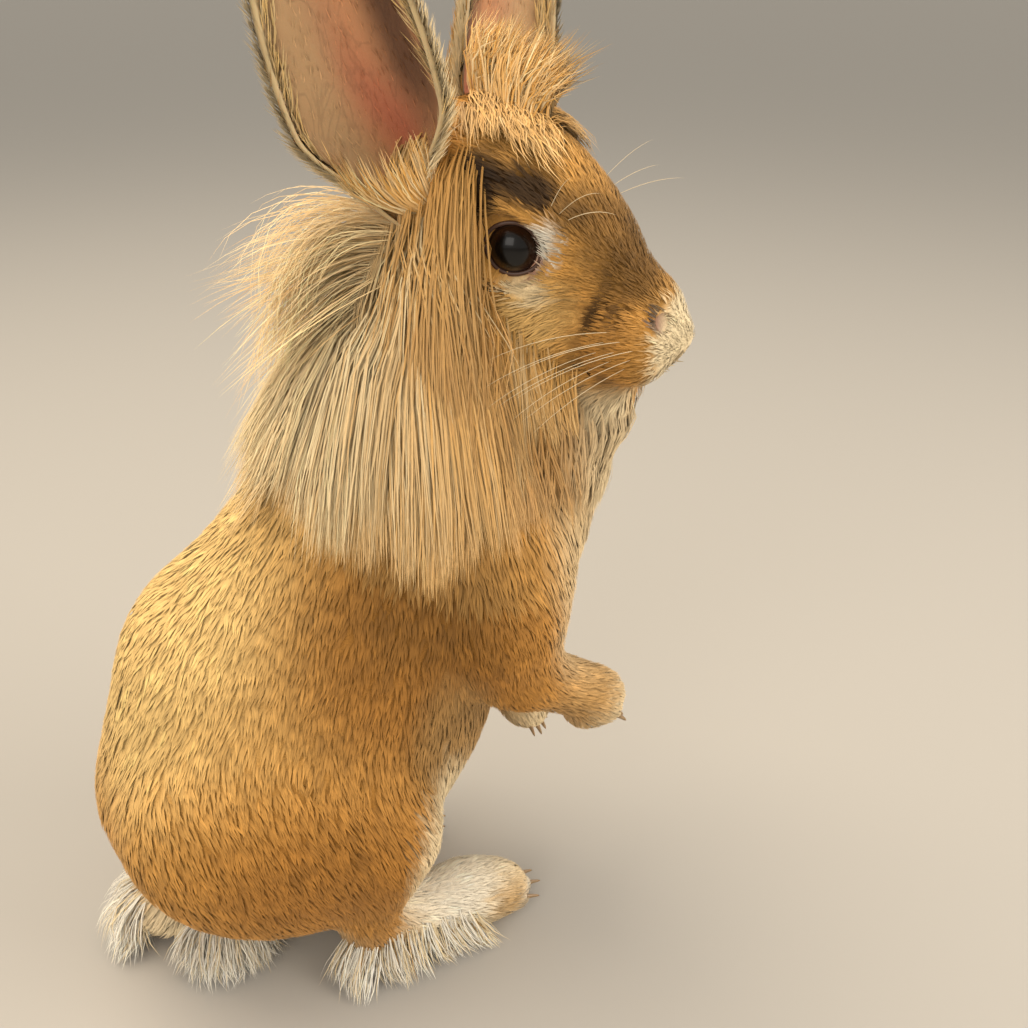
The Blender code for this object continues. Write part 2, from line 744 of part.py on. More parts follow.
def lying(roots, falls, lengths, lifts, widths, draw):
    """Locks that lie over the body, as paths, the way out at each point, and widths."""
    paths = hang(roots, falls, lengths, lifts)
    flat = paths.reshape(-1, 3)
    out = slope_at(flat, body_field(flat)).reshape(paths.shape)
    paths = swayed(list(paths), out, draw)
    return [(path, ways, width, LONG_TAPER) for path, ways, width in zip(paths, out, widths)]


def mane_locks(draw):
    """Rows of locks all round the neck, each row over the one below it."""
    made = []
    for row in MANE:
        roots, ways, back = neck_ring(row.count, row.height)
        spread = np.array([draw.uniform(0.88, 1.12) for _ in roots])
        nape = np.clip(back, 0, 1) ** 2
        falls = np.array([0, 0, -1.0]) + ways * 0.15
        lifts = (row.lift * (1 - 0.4 * np.clip(-back, 0, 1)) * (1 - nape) + row.nape_lift * nape) * spread
        drop = roots[:, 2] - (HEM + row.above_hem) * (1 - nape) - NAPE_HEM * nape
        lengths = np.maximum(drop * 1.12, mm(24)) * spread[::-1]
        widths = row.width * (2 - spread)
        made += lying(roots, falls, lengths, np.outer(lifts, row.lie), widths, draw)
    return made


def wisps(draw):
    """Loose locks that stand away from the nape."""
    made = []
    for i in range(WISP_COUNT):
        t = i / (WISP_COUNT - 1)
        root = settle(mm(16 - 10 * t, -18 + 20 * ((i * 3) % WISP_COUNT) / WISP_COUNT, 271 - 14 * t)[None],
                      -ROOT_DEPTH)[0]
        angle = math.radians(6 - 62 * t)
        reach = WISP_REACH * draw.uniform(0.85, 1.1)
        tip = root + reach * np.array([-math.cos(angle), draw.uniform(-0.2, 0.2), math.sin(angle)])
        bend = (root + tip) / 2 + mm(-9, 0, 20)
        path = bow(root, bend, tip, 4)
        made.append((path, np.repeat([[-0.3, -0.3, 1.0]], len(path), axis=0), mm(7), LONG_TAPER))
    return made


def cheek_locks(draw):
    """The front strands of the mane, from before the ears down over the cheeks."""
    share = np.linspace(0, 1, CHEEK_COUNT)
    made = []
    for side in (1, -1):
        line = np.stack([-24 + 6 * share, side * (15 + 6 * share), 22 - 36 * share], axis=1) / 1000
        falls = np.array([0, 0, -1.0]) + np.outer(share * 0.25, HEAD_AXES[:, 0])
        lengths = CHEEK_LENGTH * (1 - 0.36 * share) * np.array([draw.uniform(0.92, 1.08) for _ in share])
        lifts = np.outer(mm(10) - mm(1) * share, (0.35, 0.85, 1.15))
        made += lying(from_head(line), falls, lengths, lifts, np.full(CHEEK_COUNT, mm(17)), draw)
    return made


def forelock(draw):
    """A tuft that stands up and forward from between the ears."""
    made = []
    for i in range(FORELOCK_COUNT):
        t = i / (FORELOCK_COUNT - 1)
        spot = mm(-31 + 20 * t, 8 * math.sin(i * 2.4), 28)
        root = settle(from_head(spot)[None], -ROOT_DEPTH)[0]
        way = np.array([0.3 * t, -0.1 * math.sin(i * 2.4), 1.0 - 0.3 * t])
        way += np.array([draw.uniform(-0.15, 0.15), draw.uniform(-0.12, 0.12), 0])
        tip = root + way / np.linalg.norm(way) * FORELOCK_REACH * draw.uniform(0.8, 1.15)
        path = bow(root, root + mm(-4 + 3 * t, 0, 17 - 5 * t), tip)
        made.append((path, np.repeat([[0.4, -0.9, 0.1]], len(path), axis=0), mm(15), LONG_TAPER))
    return made


def tail_locks(draw):
    """Two lobes of locks that fan out from the tail and lie on the floor."""
    made = []
    for centre, first, last, reach, count in TAIL_LOBES:
        for i in range(count):
            angle = math.radians(first + (last - first) * i / (count - 1))
            way = np.array([math.cos(angle), math.sin(angle), 0])
            upper = i % 2
            root = np.append(centre, mm(11 + 4 * upper)) + way * mm(6)
            far = reach * (1.0 - 0.18 * upper) * draw.uniform(0.84, 1.1)
            turned = math.radians(first + (last - first) * i / (count - 1) + draw.uniform(-16, 16))
            tip_way = np.array([math.cos(turned), math.sin(turned), 0])
            tip = np.append(centre, mm(1.3 + 5 * upper)) + tip_way * far
            path = bow(root, np.append(centre, mm(15 + 5 * upper)) + way * far * 0.8, tip)
            made.append((path, np.repeat([way * 0.3 + (0, 0, 1)], len(path), axis=0), mm(18), BRUSH_TAPER))
    return made


def foot_locks(foot, toe, side, draw):
    """The long hair along the outer edge and the heel of a hind foot."""
    made = []
    for i in range(FRINGE_COUNT):
        t = i / (FRINGE_COUNT - 1) * 1.2 - 0.2
        start = foot.start + (toe.centre - foot.start) * np.clip(t, 0, 0.9)
        way = np.array([-0.9 - 2 * t, side, 0]) if t < 0.05 else np.array([-0.3, side, 0])
        way /= np.linalg.norm(way)
        root = start + way * mm(7) - (0, 0, mm(2))
        reach = FRINGE_REACH * (1.25 - 0.5 * t) * draw.uniform(0.8, 1.15)
        out = start + way * (foot.start_radius + reach * 0.6)
        tip = out * (1, 1, 0) + way * reach * 0.4 + mm(12 * max(t, 0) + draw.uniform(-2, 2), 0, 1.2)
        path = bow(root, out - (0, 0, mm(3)), tip)
        made.append((path, np.repeat([way * 0.6 + (0, 0, 0.8)], len(path), axis=0), mm(15), BRUSH_TAPER))
    return made


def apply_locks(obj, operation, locks, margin, holder):
    """Joins or cuts a node with locks one after the other, because locks overlap each other."""
    for spec in locks:
        lock(*spec, margin, holder)
        boolean(obj, operation, holder, "MANIFOLD")
        for piece in list(holder.objects):
            remove(piece)
    return obj


def add_locks(obj, locks, holder):
    """Joins locks to a node and keeps its one closed surface."""
    return keep_largest(apply_locks(obj, "UNION", locks, 0.0, holder))


def clear_of_locks(obj, locks, holder):
    """Cuts a node back to GAP from another node's locks."""
    return apply_locks(obj, "DIFFERENCE", locks, GAP, holder)


def clear_of_skin(obj, other, collection):
    """Cuts a node back from another's skin, a little less than GAP so that their parted faces stay."""
    grown = copy_of(other, "grown", collection)
    bm = bmesh.new()
    bm.from_mesh(grown.data)
    bmesh.ops.triangulate(bm, faces=bm.faces)
    bm.to_mesh(grown.data)
    bm.free()
    normals = np.array([v.normal for v in grown.data.vertices])
    points = points_of(grown.data) + normals * GAP * 0.8
    grown.data.vertices.foreach_set("co", points.astype(np.float32).ravel())
    boolean(obj, "DIFFERENCE", grown)
    remove(grown)
    return obj


MATERIALS = {
    "head": ("golden_fur", (0.62, 0.38, 0.16)),
    "neck": ("pale_mane", (0.78, 0.58, 0.33)),
    "torso": ("golden_back_fur", (0.64, 0.38, 0.14)),
    "tail": ("white_tail_fur", (0.86, 0.78, 0.66)),
    "hind_leg_right": ("haunch_fur_right", (0.62, 0.38, 0.16)),
    "hind_leg_left": ("haunch_fur_left", (0.62, 0.38, 0.16)),
    "hind_foot_right": ("foot_fur_right", (0.84, 0.68, 0.45)),
    "hind_foot_left": ("foot_fur_left", (0.84, 0.68, 0.45)),
    "foreleg_right": ("foreleg_fur_right", (0.72, 0.50, 0.27)),
    "foreleg_left": ("foreleg_fur_left", (0.72, 0.50, 0.27)),
    "ear_right": ("ear_skin_right", (0.52, 0.36, 0.28)),
    "ear_left": ("ear_skin_left", (0.52, 0.36, 0.28)),
    "eye": ("dark_eye", (0.02, 0.014, 0.012)),
    "claw": ("horn_claw", (0.55, 0.45, 0.36)),
}


def finish(obj):
    """Gives a node its own material and its place in the frame of the part."""
    kind = obj.name if obj.name in MATERIALS else obj.name.split("_")[0]
    name, colour = MATERIALS[kind]
    material = bpy.data.materials.new(name if kind == obj.name else obj.name + "_" + name)
    material.use_nodes = True
    shader = material.node_tree.nodes["Principled BSDF"]
    shader.inputs["Base Color"].default_value = (*colour, 1)
    shader.inputs["Roughness"].default_value = 0.08 if kind == "eye" else 0.45 if kind == "claw" else 0.8
    shader.inputs["Metallic"].default_value = 0.0
    obj.data.materials.clear()
    obj.data.materials.append(material)
    obj.data.name = obj.name
    obj.location = -Vector(ORIGIN)
    return obj


def floor_cut(collection):
    return region_box(mm(-200, -150, -60), mm(200, 150, 0))("floor", 0.0, collection)


def build(collection, holder):
    nodes = part_body(whole_body(collection), collection)
    for side, name in ((1, "eye_left"), (-1, "eye_right")):
        nodes[name] = eyeball(name, side, EYE_RADIUS, collection)
        socket = eyeball("socket", side, EYE_RADIUS + GAP, collection)
        boolean(nodes["head"], "DIFFERENCE", socket)
        remove(socket)
    for name, spec in EARS.items():
        nodes[name] = ear(name, collection)
    for paw in PAWS:
        limb, side = paw.split("_")
        flesh = nodes[("hind_foot_" if limb == "hind" else "foreleg_") + side]
        for i in range(TOE_COUNT):
            name = f"claw_{paw}_{i + 1}"
            nodes[name] = claw(name, paw, i, 0.0, collection)
            socket = claw("socket", paw, i, GAP, collection)
            boolean(flesh, "DIFFERENCE", socket)
            remove(socket)
    draw = random.Random(SEED)
    face_locks = cheek_locks(draw) + forelock(draw)
    add_locks(nodes["neck"], mane_locks(draw) + wisps(draw), holder)
    clear_of_locks(nodes["neck"], face_locks, holder)
    clear_of_skin(nodes["neck"], nodes["head"], collection)
    add_locks(nodes["head"], face_locks, holder)
    for name, spec in EARS.items():
        socket = ear_socket(nodes[name], spec, collection)
        boolean(nodes["head"], "DIFFERENCE", socket)
        boolean(nodes["neck"], "DIFFERENCE", socket)
        remove(socket)
    add_locks(nodes["tail"], tail_locks(draw), holder)
    for name, limbs, side in (("hind_foot_right", RIGHT_LIMBS, -1), ("hind_foot_left", LEFT_LIMBS, 1)):
        add_locks(nodes[name], foot_locks(limbs["foot"], limbs["forefoot"], side, draw), holder)
    floor = floor_cut(collection)
    for name in ("tail", "hind_foot_right", "hind_foot_left", "hind_leg_right", "hind_leg_left", "torso"):
        boolean(nodes[name], "DIFFERENCE", floor)
    remove(floor)
    for name in ("head", "neck", "tail", "hind_foot_right", "hind_foot_left"):
        keep_largest(nodes[name])
    for name, node in nodes.items():
        node.name = name
        finish(node)
    return nodes


for old in list(bpy.data.objects):
    bpy.data.objects.remove(old, do_unlink=True)
rabbit = bpy.data.collections.new("lionhead_rabbit")
bpy.context.scene.collection.children.link(rabbit)
cutters = bpy.data.collections.new("locks_and_cutters")
bpy.context.scene.collection.children.link(cutters)
build(rabbit, cutters)
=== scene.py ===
"""Looks of a standing lionhead rabbit: skin, short coat, long mane, ears, eyes, claws and whiskers.

Shapes are worked out in the rabbit's own axes, with x to its front and y to its left,
and are set down in the frame of the part by ORIGIN. Skin and coat take their colours, painted light
and shade included, from one function of place, so that they agree everywhere.
"""

import math
from collections import namedtuple

import bmesh
import bpy
import numpy as np
from mathutils import Matrix, Vector, kdtree


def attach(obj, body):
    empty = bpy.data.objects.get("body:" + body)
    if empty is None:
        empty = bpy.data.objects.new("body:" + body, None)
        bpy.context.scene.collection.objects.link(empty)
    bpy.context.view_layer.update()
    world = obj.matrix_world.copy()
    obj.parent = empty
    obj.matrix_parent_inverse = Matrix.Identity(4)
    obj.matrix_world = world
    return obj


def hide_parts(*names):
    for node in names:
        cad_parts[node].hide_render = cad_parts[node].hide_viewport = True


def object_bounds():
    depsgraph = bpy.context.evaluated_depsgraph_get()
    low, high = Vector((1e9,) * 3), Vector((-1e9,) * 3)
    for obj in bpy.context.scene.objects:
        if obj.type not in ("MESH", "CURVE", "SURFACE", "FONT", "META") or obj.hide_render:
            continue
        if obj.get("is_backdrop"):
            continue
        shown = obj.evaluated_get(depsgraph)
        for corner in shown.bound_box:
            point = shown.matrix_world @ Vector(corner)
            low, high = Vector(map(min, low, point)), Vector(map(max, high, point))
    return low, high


def mm(*values):
    """Millimetres to metres, as a number or an array."""
    return values[0] / 1000 if len(values) == 1 else np.array(values, float) / 1000


def shade(code):
    """An sRGB hex colour as linear red, green and blue."""
    parts = np.array([int(code[i:i + 2], 16) / 255 for i in (1, 3, 5)])
    return np.where(parts <= 0.04045, parts / 12.92, ((parts + 0.055) / 1.055) ** 2.4)


# Where the middle of the part's box lies in the rabbit's own axes
ORIGIN = mm(-9.4, 1.1, 0)
# The size of the skin's faces, and a distance beyond any on the rabbit
GRAIN = mm(1.6)
FAR = 1.0

HEAD_CENTRE = mm(52, -21.5, 267)
HEAD_TURN = math.radians(38)
HEAD_NOD = math.radians(27)
HEAD_REACH = mm(110)
NECK_BLEND = mm(12)

EYE_PLACE = mm(0, 13, 0)
EYE_RADIUS = mm(8.5)
EYE_OPENING = mm(7)
EYE_LOOK = (0.25, 0.96, 0.12)
LID_THICKNESS = mm(1.5)

# Each ear: root, middle and tip of its axis, and the way that its cup faces
EARS = {
    "ear_right": (mm(14, -18, 282), mm(2, -24, 319), mm(-13, -27, 374), (-0.40, -0.92, 0.05)),
    "ear_left": (mm(41, 8, 284), mm(49, 10, 322), mm(53, 14, 374), (0.62, -0.78, 0.05)),
}
EAR_WIDTH = mm(45)
EAR_ROOT_WIDTH = 0.52
EAR_WIDEST = 0.30
EAR_DEPTH = mm(15)
EAR_THICKNESS = mm(2.4)
EAR_TOP = mm(374.2)

# The neck's axis, and how low the mane hangs at the sides and behind
NECK_TOP = mm(28, -6, 268)
NECK_BOTTOM = mm(14, -2, 205)
HEM = mm(180)
NAPE_HEM = mm(190)

# The coat of a place: how deep it lies over the skin, and the length, width and lift of its tufts
Coat = namedtuple("Coat", "depth length width lift")
BACK_COAT = Coat(mm(1.2), mm(9), mm(1.4), mm(0.35))
BELLY_COAT = Coat(mm(1.8), mm(14), mm(1.4), mm(0.9))
CHEST_COAT = Coat(mm(1.7), mm(13), mm(1.4), mm(0.7))
LIMB_COAT = Coat(mm(1.2), mm(7), mm(1.0), mm(0.4))
PAW_COAT = Coat(mm(1.1), mm(4.5), mm(0.8), mm(0.2))
FACE_COAT = Coat(mm(1.0), mm(4.2), mm(0.6), mm(0.2))
CHEEK_COAT = Coat(mm(1.3), mm(7), mm(0.8), mm(0.5))
NOSE_COAT = Coat(mm(0.6), mm(2.2), mm(0.4), mm(0.1))
TAIL_COAT = Coat(mm(2.4), mm(13), mm(1.3), mm(1.5))

Ball = namedtuple("Ball", "centre radii lean blend")
Bone = namedtuple("Bone", "start end start_radius end_radius blend")
# A mass of the body: its form, the way its hair lies, and its coat
Mass = namedtuple("Mass", "form flow coat")

TRUNK = {
    "rump": Mass(Ball(mm(-44, 0, 69), mm(61, 50, 57), 0, mm(1)), (-0.25, 0, -1), BACK_COAT),
    "loin": Mass(Ball(mm(-24, 0, 108), mm(68, 48, 59), -24, mm(20)), (-0.30, 0, -1), BACK_COAT),
    "belly": Mass(Ball(mm(-13, 0, 92), mm(35, 38, 50), 0, mm(20)), (0.1, 0, -1), BELLY_COAT),
    "ribs": Mass(Ball(mm(5, 0, 150), mm(57, 44, 50), -25, mm(20)), (-0.25, 0, -1), BACK_COAT),
    "chest": Mass(Ball(mm(34, 0, 170), mm(46, 35, 42), 0, mm(20)), (0.12, 0, -1), CHEST_COAT),
    "nape": Mass(Bone(mm(10, 0, 184), mm(26, -6, 232), mm(36), mm(26), mm(18)), (-0.4, 0, -1), CHEST_COAT),
    "throat": Mass(Bone(mm(57, -6, 195), mm(58, -18, 234), mm(22), mm(20), mm(16)), (0.1, 0, -1), CHEST_COAT),
    "dewlap": Mass(Ball(mm(70, -22, 218), mm(16, 15, 16), 0, mm(12)), (0, 0, -1), CHEST_COAT),
}
EACH_SIDE = {
    "haunch": Mass(Ball(mm(-42, 32, 68), mm(51, 25, 46), -22, mm(12)), (0.45, 0, -1), BACK_COAT),
    "knee": Mass(Ball(mm(-14, 38, 70), mm(25, 17, 26), 0, mm(12)), (0.5, 0, -1), BELLY_COAT),
    "shank": Mass(Bone(mm(-4, 38, 60), mm(-14, 36, 24), mm(17), mm(11), mm(10)), (0.2, 0, -1), LIMB_COAT),
    "shoulder": Mass(Ball(mm(38, 28, 152), mm(26, 16, 36), 10, mm(14)), (0.2, 0, -1), CHEST_COAT),
}
RIGHT_LIMBS = {
    "upper_arm": Mass(Bone(mm(38, -34, 142), mm(45, -33, 122), mm(18), mm(12.5), mm(10)),
                      (0.2, 0, -1), LIMB_COAT),
    "forearm": Mass(Bone(mm(45, -33, 121), mm(73, -25, 102), mm(12), mm(10.5), mm(8)),
                    (1, 0.3, -0.4), LIMB_COAT),
    "forepaw": Mass(Ball(mm(76, -23, 96), mm(13, 10, 10.5), 35, mm(6)), (0.8, 0.2, -0.55), PAW_COAT),
    "foot": Mass(Bone(mm(-12, -32, 11.7), mm(22, -26, 11.7), mm(13), mm(13), mm(8)),
                 (1, 0.15, -0.25), LIMB_COAT),
    "forefoot": Mass(Ball(mm(31, -24, 11), mm(20, 13, 12.5), 0, mm(8)), (1, 0.2, -0.2), PAW_COAT),
}
LEFT_LIMBS = {
    "upper_arm": Mass(Bone(mm(38, 32, 142), mm(36, 28, 108), mm(18), mm(14), mm(10)),
                      (0.1, 0, -1), LIMB_COAT),
    "forearm": Mass(Bone(mm(38, 28, 108), mm(56, 16, 79), mm(12.5), mm(10.5), mm(8)),
                    (0.5, -0.3, -0.8), LIMB_COAT),
    "forepaw": Mass(Ball(mm(59, 14, 72), mm(11, 10, 14), 20, mm(6)), (0.45, -0.3, -0.84), PAW_COAT),
    "foot": Mass(Bone(mm(-42, 38, 11.7), mm(-8, 31, 11.7), mm(13), mm(13), mm(8)),
                 (1, -0.15, -0.25), LIMB_COAT),
    "forefoot": Mass(Ball(mm(0, 29, 11), mm(20, 13, 12.5), 0, mm(8)), (1, -0.2, -0.2), PAW_COAT),
}
# Each paw's toes: where they fan out from, the way they point, their reach, spread and radius
PAWS = {
    "hind_right": (mm(30, -24, 7), (0.96, 0.27, -0.05), mm(20), mm(17), mm(5.2)),
    "hind_left": (mm(-1, 29, 7), (0.97, -0.22, -0.05), mm(20), mm(17), mm(5.2)),
    "fore_right": (mm(74, -23.5, 97), (0.80, 0.18, -0.57), mm(11), mm(11), mm(4.2)),
    "fore_left": (mm(58, 14.5, 74), (0.45, -0.30, -0.84), mm(11), mm(11), mm(4.2)),
}
TOE_COUNT = 4
TAIL = {
    "tail": Mass(Ball(mm(-88, 2, 13), mm(17, 18, 14), 0, mm(8)), (-0.8, 0, -0.8), TAIL_COAT),
    "tail_fold": Mass(Ball(mm(-66, -15, 12), mm(18, 14, 12), 0, mm(8)), (-0.3, -0.6, -0.9), TAIL_COAT),
}

# The masses of the head, in its own axes: x to the nose, y to its left, z up, from between the eyes
SKULL = {
    "cranium": Mass(Ball(mm(-14, 0, 8), mm(32, 23, 22), 0, mm(1)), (-1, 0, -0.25), CHEEK_COAT),
    "forehead": Mass(Ball(mm(5, 0, 7.5), mm(25, 19, 16.5), 0, mm(8)), (-1, 0, 0.1), FACE_COAT),
    "snout": Mass(Bone(mm(8, 0, 1.5), mm(40, 0, 1), mm(16.5), mm(10.5), mm(8)), (-1, 0, 0), FACE_COAT),
    "nose": Mass(Ball(mm(49, 0, -2.5), mm(7.5, 7, 8), 0, mm(4)), (-1, 0, -0.1), NOSE_COAT),
    "chin": Mass(Ball(mm(37.5, 0, -20), mm(11, 8.5, 8), 0, mm(4)), (-0.8, 0, -0.5), FACE_COAT),
    "jaw": Mass(Bone(mm(27, 0, -18), mm(-12, 0, -16), mm(9), mm(16), mm(8)), (-0.9, 0, -0.5), CHEEK_COAT),
}
FACE_SIDES = {
    "whisker_pad": Mass(Ball(mm(40.5, 8, -9), mm(14, 9.5, 12), 0, mm(6)), (-0.8, 0.2, -0.5), FACE_COAT),
    "cheek": Mass(Ball(mm(-6, 12, -12), mm(22, 13, 19), 0, mm(10)), (-0.8, 0.1, -0.7), CHEEK_COAT),
    "brow": Mass(Ball(mm(3, 13.5, 12), mm(12, 7.5, 5), 0, mm(6)), (-1, 0.1, 0.1), FACE_COAT),
}
# What is hollowed out of the face: the dish round each eye, the nostrils and the line of the mouth
HOLLOWS = {
    "eye_dish": Mass(Ball(mm(0.5, 18.5, 0), mm(10, 6, 8.5), 0, mm(4)), None, None),
    "nostril": Mass(Ball(mm(47.5, 7.8, 3), mm(3.4, 2, 2), 30, mm(1)), None, None),
    "cleft": Mass(Bone(mm(55, 0, -5), mm(50, 0, -15), mm(1.6), mm(1.6), mm(1.5)), None, None),
    "mouth": Mass(Bone(mm(50, 0.5, -16), mm(30, 12, -20), mm(1.6), mm(1.3), mm(1.5)), None, None),
}


def length_of(v):
    return np.sqrt(np.einsum("ij,ij->i", v, v))


def unit(v):
    return v / (length_of(v)[:, None] + 1e-12)


def ball_distance(p, form):
    """Signed distance, near enough, to an ellipsoid that leans about the y axis."""
    c = math.cos(math.radians(form.lean))
    s = math.sin(math.radians(form.lean))
    lean = np.array([[c, 0, -s], [0, 1, 0], [s, 0, c]])
    a = (p - form.centre) @ (lean / form.radii)
    k0 = length_of(a) + 1e-9
    k1 = length_of(a / form.radii) + 1e-9
    return k0 * (k0 - 1) / k1


def bone_distance(p, form):
    """Signed distance to a rod with round ends of two sizes."""
    span = form.end - form.start
    length = math.sqrt(span @ span)
    narrowing = form.start_radius - form.end_radius
    q = p - form.start
    along = q @ span / length
    across = np.sqrt(np.maximum(np.einsum("ij,ij->i", q, q) - along ** 2, 0))
    slope = narrowing / math.sqrt(length ** 2 - narrowing ** 2)
    t = np.clip((along - across * slope) / length, 0, 1)
    return np.hypot(along - t * length, across) - (form.start_radius - t * narrowing)


def distance(p, form):
    return ball_distance(p, form) if isinstance(form, Ball) else bone_distance(p, form)


def blend(a, b, reach):
    """The smaller of two distances, with the crease between them rounded over reach."""
    h = np.maximum(reach - np.abs(a - b), 0) / reach
    return np.minimum(a, b) - h * h * reach / 4


def mirrored(mass):
    """The same mass on the other side of the plane y = 0."""
    flip = np.array([1, -1, 1])
    form = mass.form
    if isinstance(form, Ball):
        form = form._replace(centre=form.centre * flip)
    else:
        form = form._replace(start=form.start * flip, end=form.end * flip)
    flow = None if mass.flow is None else tuple(np.array(mass.flow) * flip)
    return Mass(form, flow, mass.coat)


def both_sides(masses):
    return [*masses.values(), *(mirrored(mass) for mass in masses.values())]


def toe_line(paw, i):
    """Start and end of a toe's axis; the toes of a paw lie side by side."""
    root, heading, reach, spread, _ = PAWS[paw]
    heading = np.array(heading) / np.linalg.norm(heading)
    across = np.cross((0, 0, 1), heading)
    across /= np.linalg.norm(across)
    place = i / (TOE_COUNT - 1) - 0.5
    start = root + across * spread * 0.7 * place
    return start, root + across * spread * place + heading * reach * (1 - place ** 2)


def toes(paw):
    radius = PAWS[paw][4]
    heading = PAWS[paw][1]
    return [Mass(Bone(*toe_line(paw, i), radius, radius * 0.8, mm(3)), heading, PAW_COAT)
            for i in range(TOE_COUNT)]


BODY_MASSES = [*TRUNK.values(), *both_sides(EACH_SIDE), *RIGHT_LIMBS.values(), *LEFT_LIMBS.values(),
               *TAIL.values(), *(toe for paw in PAWS for toe in toes(paw))]
HEAD_MASSES = [*SKULL.values(), *both_sides(FACE_SIDES)]
HEAD_HOLLOWS = both_sides(HOLLOWS)
EYE_BED = Ball(EYE_PLACE, np.full(3, EYE_RADIUS - mm(1)), 0, mm(1))
EYE_BEDS = both_sides({"eye_bed": Mass(EYE_BED, None, None)})


def axes_of(forward, up):
    """Columns for a frame that looks along forward and keeps its z near up."""
    x = np.array(forward, float) / np.linalg.norm(forward)
    y = np.cross(up, x)
    y /= np.linalg.norm(y)
    return np.column_stack([x, y, np.cross(x, y)])


HEAD_AXES = axes_of((math.cos(HEAD_TURN) * math.cos(HEAD_NOD), -math.sin(HEAD_TURN) * math.cos(HEAD_NOD),
                     -math.sin(HEAD_NOD)), (0, 0, 1))


def to_head(p):
    return (p - HEAD_CENTRE) @ HEAD_AXES


def from_head(q):
    return np.asarray(q, float) @ HEAD_AXES.T + HEAD_CENTRE


def lid_distance(q, side):
    """The ring of the eyelids, round the eye's line of sight."""
    look = np.array(EYE_LOOK) * (1, side, 1)
    look /= np.linalg.norm(look)
    q = q - EYE_PLACE * (1, side, 1)
    height = math.sqrt(EYE_RADIUS ** 2 - EYE_OPENING ** 2)
    along = q @ look
    across = np.sqrt(np.maximum(np.einsum("ij,ij->i", q, q) - along ** 2, 0))
    return np.hypot(across - EYE_OPENING - LID_THICKNESS / 2, along - height) - LID_THICKNESS


def merged(d, p, form):
    """The distance d with a form blended in, worked out only where the form can change it."""
    if isinstance(form, Ball):
        middle, bound = form.centre, form.radii.max()
    else:
        middle = (form.start + form.end) / 2
        bound = length_of((form.end - form.start)[None])[0] / 2 + max(form.start_radius, form.end_radius)
    near = length_of(p - middle) - bound < d + form.blend
    d[near] = blend(d[near], distance(p[near], form), form.blend)
    return d


def head_field(p):
    q = to_head(p)
    d = np.full(len(p), FAR)
    for mass in HEAD_MASSES:
        d = merged(d, q, mass.form)
    for mass in HEAD_HOLLOWS:
        d = -blend(-d, distance(q, mass.form), mass.form.blend)
    for mass in EYE_BEDS:
        d = merged(d, q, mass.form)
    for side in (1, -1):
        d = blend(d, lid_distance(q, side), mm(2))
    return d


def body_field(p):
    """Signed distance, near enough, to the outside of the whole rabbit's short coat."""
    d = np.full(len(p), FAR)
    for mass in BODY_MASSES:
        d = merged(d, p, mass.form)
    near = length_of(p - HEAD_CENTRE) < HEAD_REACH
    d[near] = blend(d[near], head_field(p[near]), NECK_BLEND)
    return d


def slope_at(p, here):
    """The field's slope as unit vectors that point out of the body; here is the field at p."""
    step = mm(0.3)
    slope = np.stack([body_field(p + step * np.eye(3)[k]) - here for k in range(3)], axis=1)
    return unit(slope)


def settle(p, level=0.0, rounds=3):
    """Moves points along the slope until the field has the given value there."""
    p = np.array(p, float)
    for _ in range(rounds):
        here = body_field(p)
        miss = np.clip(here - level, -mm(4), mm(4))
        p -= slope_at(p, here) * miss[:, None] * 0.95
    return p


def hair_at(p):
    """Coat and lie of the hair at points, from the masses nearest to them: Coat of arrays, and flows."""
    q = to_head(p)
    near = length_of(q) < HEAD_REACH
    masses = BODY_MASSES + HEAD_MASSES
    gaps = np.full((len(masses), len(p)), FAR)
    for i, mass in enumerate(BODY_MASSES):
        gaps[i] = distance(p, mass.form)
    for i, mass in enumerate(HEAD_MASSES, len(BODY_MASSES)):
        gaps[i, near] = distance(q[near], mass.form)
    weights = np.exp(-(gaps - gaps.min(axis=0)) / mm(3.5))
    weights /= weights.sum(axis=0)
    coats = Coat(*(np.array([mass.coat for mass in masses]).T @ weights))
    flows = [np.array(mass.flow) for mass in BODY_MASSES] + [HEAD_AXES @ mass.flow for mass in HEAD_MASSES]
    flows = unit(np.array(flows))
    return coats, weights.T @ flows


def smooth(x, low, high):
    """From 0 at low to 1 at high, with soft ends."""
    t = np.clip((x - low) / (high - low), 0, 1)
    return t * t * (3 - 2 * t)


def within(p, centre, radii, soft=0.5):
    """1 inside an ellipsoid and 0 outside, softened over a share of its size."""
    r = length_of((p - mm(*centre)) / mm(*radii))
    return 1 - smooth(r, 1 - soft, 1 + soft)


# Colours of the coat, from the undyed hair itself; GOLD_LIGHT, GOLD_DEEP and GREY_BROWN also serve as painted
# highlight and painted shade
GOLD = shade("#cb9144")
GOLD_DEEP = shade("#9c6828")
GOLD_LIGHT = shade("#f6cf86")
CREAM = shade("#ecd7ae")
WHITE = shade("#f8f0de")
TAN = shade("#bf965c")
OLIVE = shade("#281704")
GREY_BROWN = shade("#6e4e22")
SKIN_PINK = shade("#c08873")
MAUVE = shade("#8c6a60")


def mottled(p):
    """The slight patchiness of a coat, lighter and darker by turns every one or two centimetres."""
    waves = ((0.42, 0.31, 0.55, 0.4), (-0.30, 0.62, 0.36, 2.1), (0.66, -0.21, -0.33, 4.0),
             (0.12, 0.47, -0.71, 1.3), (-0.75, -0.36, 0.18, 5.2))
    turns = [np.sin(p @ np.array(wave[:3]) * 1000 + wave[3]) for wave in waves]
    return 1 + 0.055 * np.sum(turns, axis=0)[:, None]


